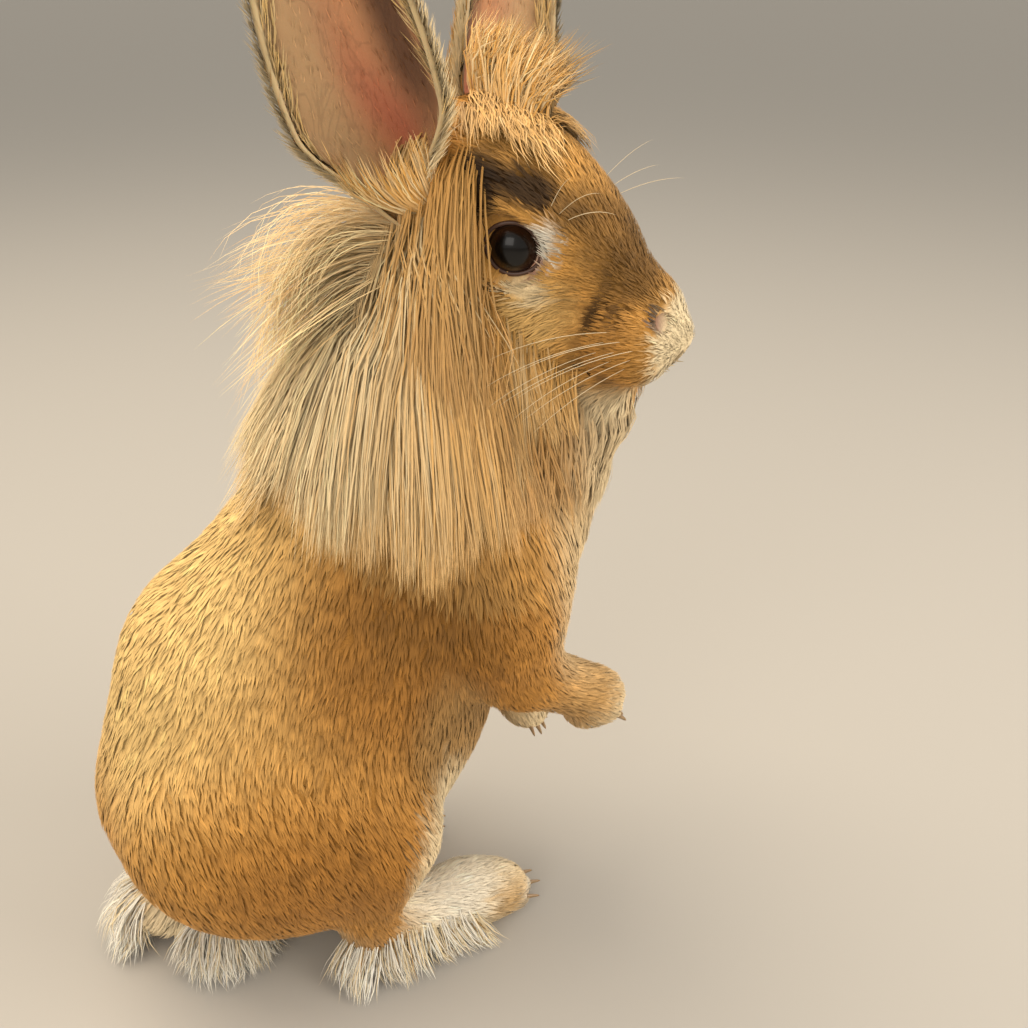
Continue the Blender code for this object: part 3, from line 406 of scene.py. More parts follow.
def coat_colour_and_painted_light(p):
    """Linear colour of the coat at points: gold over the back, cream below and the marks of the face, with a
    painted highlight on top of the back and painted shade on the flanks, haunches, shoulders and belly sides.
    """
    c = np.repeat(GOLD[None], len(p), axis=0) * mottled(p)

    def paint(colour, share):
        c[:] += (colour - c) * share[:, None]

    x, y, z = p.T * 1000
    # Painted highlight: lighter gold along the top of the back
    back_top_highlight = smooth(-x - 0.35 * z, -75, -5) * smooth(z, 60, 120) * smooth(-np.abs(y), -60, -28)
    paint(GOLD_LIGHT, back_top_highlight * 0.85)
    for side in (1, -1):
        # Painted shade: deeper gold down the flanks and over the low haunches
        paint(GOLD_DEEP, within(p, (8, side * 46, 146), (42, 26, 50), 0.6) * 0.85)
        paint(GOLD_DEEP, within(p, (-26, side * 62, 64), (46, 24, 34), 0.6) * 0.8)
        # Painted shadow of the mane's hem on the shoulders
        paint(GREY_BROWN, within(p, (16, side * 46, 166), (26, 16, 28), 0.6) * 0.5)
        paint(CREAM, within(p, (66, side * 10, 154), (20, 36, 60), 0.35) * 0.6)
        paint(TAN, within(p, (22, side * 12, 100), (20, 40, 46), 0.3) * 0.85)
        # Painted shade on the sides of the belly
        paint(GREY_BROWN, within(p, (14, side * 32, 100), (16, 16, 34), 0.5) * 0.4)
        paint(CREAM, within(p, (16, side * 10, 70), (18, 34, 32), 0.3) * 0.9)
        paint(CREAM, within(p, (12, side * 44, 56), (13, 20, 26), 0.4) * 0.85)
        paint(CREAM, within(p, (-58, side * 20, 14), (52, 46, 19), 0.3) * 0.9)
    for paw in PAWS:
        # Shade between the toes
        for i in range(TOE_COUNT - 1):
            gap = (toe_line(paw, i)[1] + toe_line(paw, i + 1)[1]) * 500
            paint(GREY_BROWN, within(p, gap + (-1, 0, 3), (9, 1.9, 7), 0.5) * 0.9)
        toe = toe_line(paw, 1)[1]
        heel = np.mean([toe_line(paw, 1)[0], toe_line(paw, 2)[0]], axis=0)
        if paw.startswith("hind"):
            out = math.copysign(1, heel[1])
            middle = heel * 1000 + (-18, 0, 4)
            paint(CREAM, within(p, middle, (44, 22, 24), 0.25) * 0.9)
            paint(WHITE, within(p, middle + (4, 0, 6), (22, 20, 14), 0.5) * 0.85)
            paint(TAN, within(p, heel * 1000 + (7, 6 * out, 5), (11, 9, 8), 0.5) * 0.85)
            paint(GOLD_DEEP, within(p, heel * 1000 + (-46, 12 * out, 10), (15, 13, 13), 0.4) * 0.7)
            paint(WHITE, within(p, toe * 1000, (9, 14, 9), 0.5) * 0.5)
        else:
            paint(TAN, within(p, heel * 1000 + (-14, 0, 4), (34, 22, 26), 0.4) * 0.7)
            paint(CREAM, within(p, toe * 1000 + (0, 0, 3), (17, 14, 15), 0.5) * 0.85)
    head = length_of(p - HEAD_CENTRE) < HEAD_REACH
    q = to_head(p[head])
    face = c[head]

    def mark(colour, place, radii, share, soft=0.5):
        for side in (1, -1):
            shares = within(q * (1, side, 1), place, radii, soft) * share
            face[:] += (colour - face) * shares[:, None]

    ahead = smooth(q[:, 0] * 1000, -34, -14)[:, None]
    face += (GOLD_LIGHT - face) * ahead * 0.12
    mark(CREAM, (52, 2, -32), (13, 11, 10), 0.8)
    mark(CREAM, (14, 4, -34), (30, 12, 11), 0.8)
    mark(GOLD_LIGHT, (19, 20, -11), (12, 10, 10), 0.6)
    # The brown stripe along the bridge, and the dark smudges over the eye
    mark(GREY_BROWN, (-6, 15, 23), (13, 9, 6), 0.5)
    mark(GREY_BROWN, (22, 7, 15), (23, 10, 9), 0.8)
    mark(GREY_BROWN, (33, 7, 8), (11, 9, 7), 0.9)
    mark(OLIVE, (11, 16, 16.5), (8, 7, 5), 0.55)
    mark(OLIVE, (1.5, 18.5, 18), (8, 8, 5), 0.95, 0.4)
    mark(OLIVE, (-5.5, 20, 15.5), (6, 8, 4), 0.6, 0.5)
    mark(OLIVE, (-12, 21, 12), (8, 8, 9.5), 0.97, 0.35)
    # The pale ring of the eye, broadest before it, with bare pink skin in its corner
    mark(WHITE, (10.5, 19.5, 5.5), (4.6, 8, 7.5), 0.95, 0.35)
    mark(CREAM, (12.5, 20, -6.5), (8.5, 8, 3.6), 0.75, 0.4)
    mark(SKIN_PINK, (9.8, 18.5, -0.5), (3.4, 6, 3.0), 0.8, 0.5)
    # The whisker pad: deep gold, with dark lines of painted shade along its folds
    mark(GOLD_DEEP, (38, 14, -9), (11, 8, 13), 0.55)
    mark(OLIVE, (30.5, 15, -3.5), (1.9, 8, 7.5), 0.85, 0.5)
    mark(OLIVE, (36.5, 15, 0), (1.8, 8, 4.0), 0.75, 0.5)
    mark(OLIVE, (44, 9, -20), (2.4, 8, 4.0), 0.5, 0.6)
    mark(OLIVE, (33, 13, -19), (1.8, 8, 5.0), 0.4, 0.6)
    # The pale nose, with a small mauve nostril on each side
    mark(CREAM, (57, 3, 1), (12.5, 13, 18), 0.95, 0.2)
    mark(MAUVE, (46.8, 9.5, 3), (2.6, 3.0, 1.8), 0.8)
    c[head] = face
    return c


def triangles_of(mesh):
    mesh.calc_loop_triangles()
    flat = np.empty(len(mesh.loop_triangles) * 3, np.int32)
    mesh.loop_triangles.foreach_get("vertices", flat)
    return flat.reshape(-1, 3)


def points_of(mesh):
    flat = np.empty(len(mesh.vertices) * 3, np.float32)
    mesh.vertices.foreach_get("co", flat)
    return flat.reshape(-1, 3).astype(float)


def mesh_of(name, points, faces):
    """A mesh from arrays, with faces of one count of corners; its points are in the rabbit's own axes."""
    mesh = bpy.data.meshes.new(name)
    corners = faces.shape[1]
    mesh.vertices.add(len(points))
    mesh.vertices.foreach_set("co", (points - ORIGIN).astype(np.float32).ravel())
    mesh.loops.add(faces.size)
    mesh.loops.foreach_set("vertex_index", faces.astype(np.int32).ravel())
    mesh.polygons.add(len(faces))
    mesh.polygons.foreach_set("loop_start", np.arange(0, faces.size, corners, dtype=np.int32))
    mesh.update()
    mesh.validate()
    return mesh


def piece(name, mesh, material, *replaced):
    """Shows a mesh as one piece of the rabbit."""
    obj = bpy.data.objects.new(name, mesh)
    bpy.context.scene.collection.objects.link(obj)
    mesh.materials.append(material)
    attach(obj, "root")
    if replaced:
        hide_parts(*replaced)
    return obj


def tint(mesh, colours):
    """Stores a linear colour for every point, painted light and shade included, which the materials read as
    the coat's colour.
    """
    layer = mesh.attributes.new("tint", "FLOAT_COLOR", "POINT")
    opaque = np.column_stack([colours, np.ones(len(colours))])
    layer.data.foreach_set("color", opaque.astype(np.float32).ravel())


def smooth_shaded(mesh):
    mesh.polygons.foreach_set("use_smooth", np.ones(len(mesh.polygons), bool))


# Materials
def add(tree, kind, links=None, **settings):
    """Adds a node, sets its properties and sockets by name, and links other nodes' sockets into it."""
    made = tree.nodes.new(kind)
    for key, value in settings.items():
        if hasattr(made, key):
            setattr(made, key, value)
        else:
            made.inputs[key.replace("_", " ")].default_value = value
    for socket, source in (links or {}).items():
        tree.links.new(source, made.inputs[socket])
    return made


def surface(name, **settings):
    """A new material: its node tree and its shader, with constants set on the shader itself."""
    material = bpy.data.materials.new(name)
    material.use_nodes = True
    shader = material.node_tree.nodes["Principled BSDF"]
    for key, value in settings.items():
        shader.inputs[key.replace("_", " ")].default_value = value
    return material, material.node_tree, shader


def colour_of(code):
    return (*shade(code), 1)


def hair_material(name, hair_mm, depth, roughness, sheen):
    """Soft undyed hair: matt along its length, with a pale sheen where it turns away."""
    material, tree, shader = surface(name, Roughness=roughness, Sheen_Weight=sheen, Sheen_Roughness=0.5)
    shader.inputs["Sheen Tint"].default_value = colour_of("#ffe9c4")
    shader.inputs["Specular IOR Level"].default_value = 0.25
    own = add(tree, "ShaderNodeAttribute", attribute_name="tint")
    strand = add(tree, "ShaderNodeAttribute", attribute_name="strand")
    # Single hairs, hair_mm apart across a tuft and drawn out along it, some darker and some lighter
    ticks = add(tree, "ShaderNodeTexNoise", {"Vector": strand.outputs["Vector"]},
                Scale=1 / hair_mm, Detail=2.0)
    strength = add(tree, "ShaderNodeMapRange", {"Value": ticks.outputs["Fac"]},
                   From_Min=0.3, From_Max=0.7, To_Min=1 - depth, To_Max=1 + depth * 0.7)
    mixed = add(tree, "ShaderNodeVectorMath", {0: own.outputs["Color"], 1: strength.outputs["Result"]},
                operation="MULTIPLY")
    tree.links.new(mixed.outputs["Vector"], shader.inputs["Base Color"])
    return material


# The skin
def unit_sphere(sides):
    bm = bmesh.new()
    bmesh.ops.create_uvsphere(bm, u_segments=sides, v_segments=sides // 2, radius=1)
    points = np.array([v.co for v in bm.verts])
    faces = [tuple(v.index for v in face.verts) for face in bm.faces]
    bm.free()
    return points, faces


def rough_body():
    """Overlapping ellipsoids in the places of the masses, as the start of the skin."""
    sphere, sphere_faces = unit_sphere(16)
    points = []
    faces = []
    placed = [(mass.form, np.array) for mass in BODY_MASSES]
    placed += [(mass.form, from_head) for mass in HEAD_MASSES]
    for form, place in placed:
        if isinstance(form, Ball):
            balls = [(form.centre, form.radii, form.lean)]
        else:
            balls = [(form.start + t * (form.end - form.start),
                      np.full(3, form.start_radius + t * (form.end_radius - form.start_radius)), 0)
                     for t in np.linspace(0, 1, 5)]
        for centre, radii, lean in balls:
            c = math.cos(math.radians(lean))
            s = math.sin(math.radians(lean))
            turn = np.array([[c, 0, s], [0, 1, 0], [-s, 0, c]])
            start = sum(len(group) for group in points)
            faces += [tuple(start + i for i in face) for face in sphere_faces]
            points.append(place(centre + (sphere * radii) @ turn))
    mesh = bpy.data.meshes.new("rough")
    mesh.from_pydata([tuple(p) for p in np.concatenate(points)], [], faces)
    obj = bpy.data.objects.new("rough", mesh)
    bpy.context.scene.collection.objects.link(obj)
    return obj


def evened(obj, grain):
    """The object's surface rebuilt as one closed mesh of even faces."""
    remesh = obj.modifiers.new("even", "REMESH")
    remesh.mode = "VOXEL"
    remesh.voxel_size = grain
    bpy.context.view_layer.update()
    mesh = bpy.data.meshes.new_from_object(obj.evaluated_get(bpy.context.evaluated_depsgraph_get()))
    obj.modifiers.clear()
    obj.data = mesh
    return obj


def finer_face(mesh):
    """Halves the faces of the muzzle and round the eyes, where the folds are smallest."""
    bm = bmesh.new()
    bm.from_mesh(mesh)
    middles = to_head(np.array([face.calc_center_median() for face in bm.faces]))
    wanted = (middles[:, 0] > mm(28)) & (length_of(middles) < mm(75))
    for side in (1, -1):
        wanted |= length_of(middles - EYE_PLACE * (1.0, side * 1.5, 1.0)) < mm(16)
    edges = {edge for face, chosen in zip(bm.faces, wanted) if chosen for edge in face.edges}
    bmesh.ops.subdivide_edges(bm, edges=list(edges), cuts=1, use_grid_fill=True)
    bmesh.ops.triangulate(bm, faces=[face for face in bm.faces if len(face.verts) > 4])
    bm.to_mesh(mesh)
    bm.free()


def make_skin(material):
    """One skin over the whole body, sunk by the coat's depth, with beds that the eyes stand out of."""
    obj = rough_body()
    for grain, rounds in ((2 * GRAIN, 4), (GRAIN, 2)):
        evened(obj, grain)
        settled = settle(points_of(obj.data), 0.0, rounds)
        obj.data.vertices.foreach_set("co", settled.astype(np.float32).ravel())
    finer_face(obj.data)
    mesh = obj.data
    bpy.data.objects.remove(obj)
    outside = settle(points_of(mesh), 0.0, 2)
    coats, _ = hair_at(outside)
    points = settle(outside, -coats.depth, 2)
    points[:, 2] = np.maximum(points[:, 2], mm(0.6))
    mesh.name = "skin"
    mesh.vertices.foreach_set("co", (points - ORIGIN).astype(np.float32).ravel())
    mesh.update()
    smooth_shaded(mesh)
    tint(mesh, coat_colour_and_painted_light(outside))
    return piece("skin", mesh, material, "head", "neck", "torso", "tail", "hind_leg_right", "hind_leg_left",
                 "hind_foot_right", "hind_foot_left", "foreleg_right", "foreleg_left")


# The coat
def octahedral(ways):
    """Unrolls directions about a middle on to a square, each place once."""
    n = ways / np.abs(ways).sum(axis=1)[:, None]
    folded = np.where(n[:, 2:] < 0, (1 - np.abs(n[:, [1, 0]])) * np.where(n[:, :2] >= 0, 1, -1), n[:, :2])
    return folded * 0.49 + 0.5


# The share of the map that one tuft takes up, and the most that one piece holds
BAKE_PATCH = 0.003
PIECE_BLADES = 18000
PIECE_TRIANGLES = 190000


def blades(name, paths, outs, skin_normals, widths, tints, material, thick=0.3, softness=0.75):
    """One mesh of tapered three-sided blades along paths.

    paths and outs are (blades, steps, 3): points, and the way out of the coat at each. tints has a colour
    at the root and at the tip of each blade. Normals lean to the skin's own, as soft fur is lit.
    """
    count, steps, _ = paths.shape
    along = np.gradient(paths, axis=1)
    side = np.cross(along, outs)
    side /= np.sqrt(np.einsum("ijk,ijk->ij", side, side))[..., None] + 1e-12
    up = np.cross(side, along)
    up /= np.sqrt(np.einsum("ijk,ijk->ij", up, up))[..., None] + 1e-12
    share = np.linspace(0, 1, steps)[:-1]
    half = widths[:, None] * 0.5 * (0.75 + 0.75 * share - 1.35 * share ** 2.0)
    corners = ((1.0, -0.35), (-1.0, -0.35), (0.0, 0.7))
    body = paths[:, :-1, None, :] + np.stack(
        [side[:, :-1] * (half * a)[..., None] + up[:, :-1] * (half * b * thick * 2)[..., None]
         for a, b in corners], axis=2)
    points = np.concatenate([body.reshape(count, -1, 3), paths[:, -1:]], axis=1)
    ring = [(0, 2, 1)]
    for k in range(steps - 2):
        for i in range(3):
            a, b = 3 * k + i, 3 * k + (i + 1) % 3
            ring += [(a, b, a + 3), (b, b + 3, a + 3)]
    last = 3 * (steps - 2)
    ring += [(last + i, last + (i + 1) % 3, last + 3) for i in range(3)]
    ring = np.array(ring)
    per_blade = points.shape[1]
    faces = (ring[None] + (np.arange(count) * per_blade)[:, None, None]).reshape(-1, 3)
    mesh = mesh_of(name, points.reshape(-1, 3), faces)

    lift = np.stack([side[:, :-1] * a * 0.8 + up[:, :-1] * b for a, b in corners], axis=2)
    lift = np.concatenate([lift.reshape(count, -1, 3), outs[:, -1:]], axis=1)
    normals = skin_normals[:, None] * softness + lift * (1 - softness)
    normals = unit(normals.reshape(-1, 3))
    smooth_shaded(mesh)
    mesh.normals_split_custom_set_from_vertices(normals.astype(np.float32))

    # Millimetres across and along each blade, with a start of its own, for the streaks of single hairs
    starts = (np.arange(count) * 7.31) % 97
    reach = np.sqrt((np.diff(paths, axis=1) ** 2).sum(axis=2)).sum(axis=1) * 1000
    across = np.append(np.tile([0.5, -0.5, 0.0], steps - 1), 0.0)
    spread = np.append(np.repeat(share, 3), 1.0)
    strand = np.stack([across[None] * widths[:, None] * 1000 + starts[:, None],
                       spread[None] * reach[:, None] * 0.12 + starts[:, None] * 0.37,
                       np.repeat(starts[:, None] * 1.91, len(across), axis=1)], axis=2)
    layer = mesh.attributes.new("strand", "FLOAT_VECTOR", "POINT")
    layer.data.foreach_set("vector", strand.astype(np.float32).ravel())

    colours = tints[0][:, None] + (tints[1] - tints[0])[:, None] * spread[None, :, None]
    tint(mesh, colours.reshape(-1, 3))

    roots = paths[:, 0]
    middle = (roots.min(axis=0) + roots.max(axis=0)) / 2
    extent = np.maximum(roots.max(axis=0) - roots.min(axis=0), mm(5))
    places = octahedral((roots - middle) / extent)
    offsets = np.stack([-across, spread - 0.5], axis=1) * BAKE_PATCH
    uv = (places[:, None] + offsets[None]).reshape(-1, 2)
    layer = mesh.uv_layers.new(name="OFBake")
    layer.data.foreach_set("uv", uv[faces.ravel()].astype(np.float32).ravel())
    return piece(name, mesh, material)


def carried(roots, flows, lengths, levels, rounds=2):
    """Paths along the body: each is drawn along its flow and set at its levels off the outside."""
    here = roots
    steps = levels.shape[1]
    paths = [here]
    outs = []
    out = slope_at(here, body_field(here))
    for k in range(steps):
        outs.append(out)
        slide = unit(flows - out * np.einsum("ij,ij->i", flows, out)[:, None])
        here = settle(here + slide * (lengths / steps)[:, None], levels[:, k], rounds)
        out = slope_at(here, body_field(here))
        paths.append(here)
    outs.append(out)
    return np.stack(paths, axis=1), np.stack(outs, axis=1)


def leaders(roots, size, rng):
    """For each blade, the nearest of a few that others gather round, with about size blades to each."""
    count = max(int(len(roots) / size), 1)
    chosen = rng.choice(len(roots), count, replace=False)
    tree = kdtree.KDTree(count)
    for i, index in enumerate(chosen):
        tree.insert(roots[index], i)
    tree.balance()
    return np.array([chosen[tree.find(root)[1]] for root in roots])


def clumped(paths, leader, pull, rng):
    """Draws blades towards their leaders at their tips, as hair gathers into locks."""
    share = (np.linspace(0, 1, paths.shape[1]) ** 1.3)[None, :, None]
    pulls = pull * rng.uniform(0.35, 1.0, (len(paths), 1, 1))
    return paths + (paths[leader] - paths) * share * pulls


def drawn(low, high, count, rng):
    """Random lengths between two in millimetres, as metres."""
    return rng.uniform(low, high, count) / 1000


def on_faces(mesh, count, weight, rng):
    """Random points on a mesh, as many to a face as its area and weight ask."""
    tris = triangles_of(mesh)
    points = points_of(mesh) + ORIGIN
    corners = points[tris]
    area = length_of(np.cross(corners[:, 1] - corners[:, 0], corners[:, 2] - corners[:, 0]))
    share = area * weight(corners.mean(axis=1))
    chosen = rng.choice(len(tris), count, p=share / share.sum())
    u, v = rng.random((2, count))
    over = u + v > 1
    u[over], v[over] = 1 - u[over], 1 - v[over]
    a, b, c = (corners[chosen, k] for k in range(3))
    return a + (b - a) * u[:, None] + (c - a) * v[:, None]


def bare_eyes(p):
    """1 where hair may grow and 0 inside the eyelids."""
    q = to_head(p)
    share = np.ones(len(p))
    for side in (1, -1):
        look = np.array(EYE_LOOK) * (1, side, 1)
        look /= np.linalg.norm(look)
        away = q - EYE_PLACE * (1, side, 1)
        across = length_of(away - np.outer(away @ look, look))
        share *= 1 - (1 - smooth(across, EYE_OPENING, EYE_OPENING + mm(1.6))) * (away @ look > 0)
    return share


def coat_density(p):
    """How many tufts an area carries against the back, which has the broadest."""
    coats, _ = hair_at(settle(p, 0.0, 1))
    under_mane = within(p, (14, -6, 222), (46, 52, 34), 0.2)
    return (mm(1.5) / coats.width) ** 1.6 * bare_eyes(p) * (1 - 0.7 * under_mane)


def short_coat(skin, material, count, rng):
    """The flat coat of the whole body, in tufts that follow its lie."""
    roots = on_faces(skin.data, count, coat_density, rng)
    outside = settle(roots, 0.0, 2)
    coats, flows = hair_at(outside)
    skin_normals = slope_at(outside, body_field(outside))
    roots = outside - skin_normals * (coats.depth + mm(0.7))[:, None]
    turn = rng.normal(0, 0.16, count)
    across = unit(np.cross(skin_normals, flows))
    flows = unit(flows + across * turn[:, None])
    lengths = coats.length * rng.uniform(0.75, 1.2, count)
    lifts = rng.normal(0, 0.42, count) * coats.lift
    levels = np.stack([-coats.depth * 0.35 + lifts * 0.3, coats.lift * 0.2 + lifts], axis=1)
    paths, outs = carried(roots, flows, lengths, levels, 1)
    keep = paths[:, :, 2].min(axis=1) > mm(0.3)
    paths[:, :, 2] = np.maximum(paths[:, :, 2], mm(0.3))
    leader = leaders(roots, 9, rng)
    paths = clumped(paths, leader, 0.45, rng)
    colours = coat_colour_and_painted_light(outside)
    own = rng.normal(1, 0.08, count)[:, None]
    shared = rng.normal(1, 0.07, count)[leader][:, None]
    colours = colours * own * shared
    order = np.lexsort((roots[:, 0] // mm(40), roots[:, 2] // mm(60)))
    order = order[keep[order]]
    for i, chosen in enumerate(np.array_split(order, math.ceil(len(order) / PIECE_BLADES))):
        # Roots a little darker, as painted shade deep in the coat, and tips a little lighter
        tints = (colours[chosen] * 0.93, np.clip(colours[chosen] * 1.08, 0, 1))
        blades(f"coat_{i + 1}", paths[chosen], outs[chosen], skin_normals[chosen], coats.width[chosen], tints,
               material, thick=0.13, softness=0.88)


# The long hair
STRAND_STEPS = 4


def neck_roots(turns, heights):
    """Places on the neck's skin at turns round it and shares of its height."""
    axis = NECK_TOP - NECK_BOTTOM
    frame = axes_of(axis, (-1, 0, 0))
    ways = np.outer(np.cos(turns), frame[:, 1]) + np.outer(np.sin(turns), frame[:, 2])
    p = NECK_BOTTOM + np.outer(heights, axis)
    for _ in range(30):
        here = body_field(p)
        step = np.where(here < -mm(1), np.maximum(-here, mm(2)), -here)
        p = p + ways * step[:, None]
    return p, ways, np.sin(turns)


def wavy(paths, outs, amount, rng):
    """Bends strands sideways by a slow wave, more towards their tips."""
    count, steps, _ = paths.shape
    share = np.linspace(0, 1, steps)
    side = np.cross(paths[:, -1] - paths[:, 0], outs[:, 1])
    side = unit(side)
    phase = rng.uniform(-1, 1, count)
    bend = np.sin(share[None] * 4.2 + phase[:, None] * 3) * share[None] * amount
    return paths + bend[..., None] * side[:, None]


def strands(name, roots, flows, lengths, levels, widths, colours, material, rng, clump=14, pull=0.55,
            wave=mm(1.6)):
    """Long hair that hangs over the body, in locks that differ a little in length and lean."""
    sunk = settle(roots, -mm(2.5), 2)
    leader = leaders(sunk, clump, rng)
    lengths = lengths * rng.normal(1, 0.06, len(roots))[leader]
    lean = np.cross(flows, slope_at(sunk, body_field(sunk)))
    flows = flows + lean * rng.normal(0, 0.09, len(roots))[leader][:, None]
    paths, outs = carried(sunk, flows, lengths, levels, 2)
    paths = wavy(paths, outs, wave, rng)
    paths = clumped(paths, leader, pull, rng)
    paths[:, :, 2] = np.maximum(paths[:, :, 2], mm(0.3))
    count = len(roots)
    shared = rng.normal(1, 0.08, count)[leader][:, None]
    tone = colours * rng.normal(1, 0.04, count)[:, None] * shared
    normals = outs[:, 2]
    limit = PIECE_TRIANGLES // (6 * (STRAND_STEPS - 1) + 4)
    order = np.argsort(np.arctan2(roots[:, 1] - roots[:, 1].mean(), roots[:, 0] - roots[:, 0].mean()))
    for i, chosen in enumerate(np.array_split(order, math.ceil(count / limit))):
        own = tone[chosen]
        tints = (own * 0.96, np.clip(own * 1.04 + (MANE_CREAM - own) * 0.35, 0, 1))
        blades(f"{name}_{i + 1}", paths[chosen], outs[chosen], normals[chosen], widths[chosen], tints,
               material, softness=0.88)


def mixed(count, shares, rng):
    """One colour for each strand, drawn from colours by their shares."""
    colours = np.array([colour for colour, _ in shares])
    odds = np.array([share for _, share in shares], float)
    return colours[rng.choice(len(shares), count, p=odds / odds.sum())]


MANE_CREAM = shade("#fde3b2")
MANE_GOLD = shade("#e4ab58")
MANE_DEEP = shade("#bd8337")
# How far a long strand stands off the body along its way, against its fullest
LIE = np.array([0.6, 0.95, 1.0, 0.8])


def mane_colours(pale, rng):
    """A tone for each strand, from deep gold at 0 over light gold to cream at 1."""
    pale = np.clip(pale + rng.normal(0, 0.09, len(pale)), 0, 1)[:, None]
    return np.where(pale < 0.5, MANE_DEEP + (MANE_GOLD - MANE_DEEP) * pale * 2,
                    MANE_GOLD + (MANE_CREAM - MANE_GOLD) * (pale * 2 - 1))


def mane(material, count, rng):
    """The lion's mane: long strands all round the neck, over the shoulders."""
    turns = rng.uniform(0, 2 * math.pi, count)
    heights = rng.uniform(0.12, 1.0, count)
    roots, ways, back = neck_roots(turns, heights)
    q = to_head(roots)
    keep = ~((q[:, 0] > mm(-4)) & (q[:, 2] > mm(-30)))
    roots, ways, back, heights = roots[keep], ways[keep], back[keep], heights[keep]
    count = len(roots)
    nape = np.clip(back, 0, 1) ** 2
    front = np.clip(-back, 0, 1)
    lift = mm(3.0) + mm(6.0) * heights
    nape_lift = mm(4) + mm(12) * heights
    lifts = (lift * (1 - 0.4 * front) * (1 - nape) + nape_lift * nape) * rng.uniform(0.45, 1.1, count)
    hem = HEM + (NAPE_HEM - HEM) * nape - mm(6) * smooth(back, -0.1, 0.4)
    hem = hem + mm(20) - mm(27) * rng.beta(2, 1.4, count)
    lengths = np.maximum((roots[:, 2] - hem) * 1.08, mm(24))
    flows = np.array([0, 0, -1.0]) + ways * 0.12
    pale = 0.1 + 0.42 * smooth(back, -0.75, 0.25) + 0.4 * smooth(back, 0.2, 0.85) * smooth(heights, 0.1, 0.7)
    colours = mane_colours(pale, rng)
    throat = smooth(roots[:, 0], mm(50), mm(72))
    colours = colours + (CREAM - colours) * throat[:, None] * 0.85
    strands("mane", roots, flows, lengths, np.outer(lifts, LIE), drawn(0.4, 0.85, count, rng), colours,
            material, rng, clump=40, pull=0.7)


# From the ear's foot at 0 round the cheek to 1, and on along the jaw: share, then millimetres on the head
CHEEK_LINE = np.array([(0.0, -26, 15, 22), (0.25, -20.5, 20, 14), (0.5, -15.5, 23, 3), (0.7, -7.5, 23, -8),
                       (0.85, -1, 23, -13), (1.0, 5, 22, -17), (1.3, 18, 17, -22), (1.6, 30, 13, -26)])


def cheek_strands(material, count, rng):
    """The front of the mane, which falls from before the ears, and the beard that hangs from the cheeks."""
    share = rng.uniform(0, 1.6, count)
    side = rng.choice([-1, 1], count)
    line = np.stack([np.interp(share, CHEEK_LINE[:, 0], CHEEK_LINE[:, k]) for k in (1, 2, 3)], axis=1)
    line += rng.normal(0, 2.2, (count, 3)) * (1, 0, 1) - np.outer(rng.uniform(0, 5, count), (1, 0, 0))
    line[:, 1] *= side
    roots = settle(from_head(line / 1000), 0.0, 4)
    flows = np.array([0, 0, -1.0]) + np.outer(share * 0.08 + rng.normal(0, 0.05, count), HEAD_AXES[:, 0])
    lengths = np.interp(share, (0, 1, 1.6), (96, 60, 26)) / 1000 * rng.uniform(0.55, 1.05, count)
    lifts = drawn(2.5, 9, count, rng) * np.interp(share, (0.8, 1.2), (1, 0.45))
    colours = mane_colours(np.interp(share, (0, 0.8, 1.1, 1.6), (0.3, 0.15, 0.6, 0.5)), rng)
    strands("cheek_strands", roots, flows, lengths, np.outer(lifts, LIE), drawn(0.35, 0.75, count, rng),
            colours, material, rng, clump=40, pull=0.65)


def nape_strands(material, count, rng):
    """Long hair from behind the ears and between them, which falls over the nape."""
    share = rng.random(count)
    spots = np.stack([-34 - 6 * share, rng.uniform(-15, 15, count), 24 - 26 * share], axis=1) / 1000
    roots = settle(from_head(spots), 0.0, 6)
    flows = np.array([-0.3, 0, -1.0]) + rng.normal(0, 0.08, (count, 3))
    lifts = (rng.uniform(2, 6, count) + 5 * share) / 1000
    lengths = mm(62) * rng.uniform(0.6, 1.1, count)
    strands("nape_strands", roots, flows, lengths, np.outer(lifts, LIE), drawn(0.4, 0.8, count, rng),
            mane_colours(0.55 + 0.3 * share, rng), material, rng, clump=40, pull=0.65)


def bowed(starts, bends, tips, steps=STRAND_STEPS):
    """Curves from starts to tips that are drawn towards bends."""
    t = np.linspace(0, 1, steps + 1)[None, :, None]
    return (1 - t) ** 2 * starts[:, None] + 2 * t * (1 - t) * bends[:, None] + t * t * tips[:, None]


def free_strands(name, paths, out, widths, colours, material, rng, clump=10, pull=0.5, wave=mm(1)):
    """Long hair that stands off the body, along curves of its own."""
    outs = np.repeat(unit(out)[:, None], paths.shape[1], axis=1)
    paths = wavy(paths, outs, wave, rng)
    leader = leaders(paths[:, 0], clump, rng)
    paths = clumped(paths, leader, pull, rng)
    paths[:, :, 2] = np.maximum(paths[:, :, 2], mm(0.3))
    count = len(paths)
    tone = colours * rng.normal(1, 0.09, count)[:, None] * rng.normal(1, 0.08, count)[leader][:, None]
    tints = (tone * 0.92, np.clip(tone * 1.06, 0, 1))
    blades(name, paths, outs, outs[:, 0], widths, tints, material, softness=0.75)


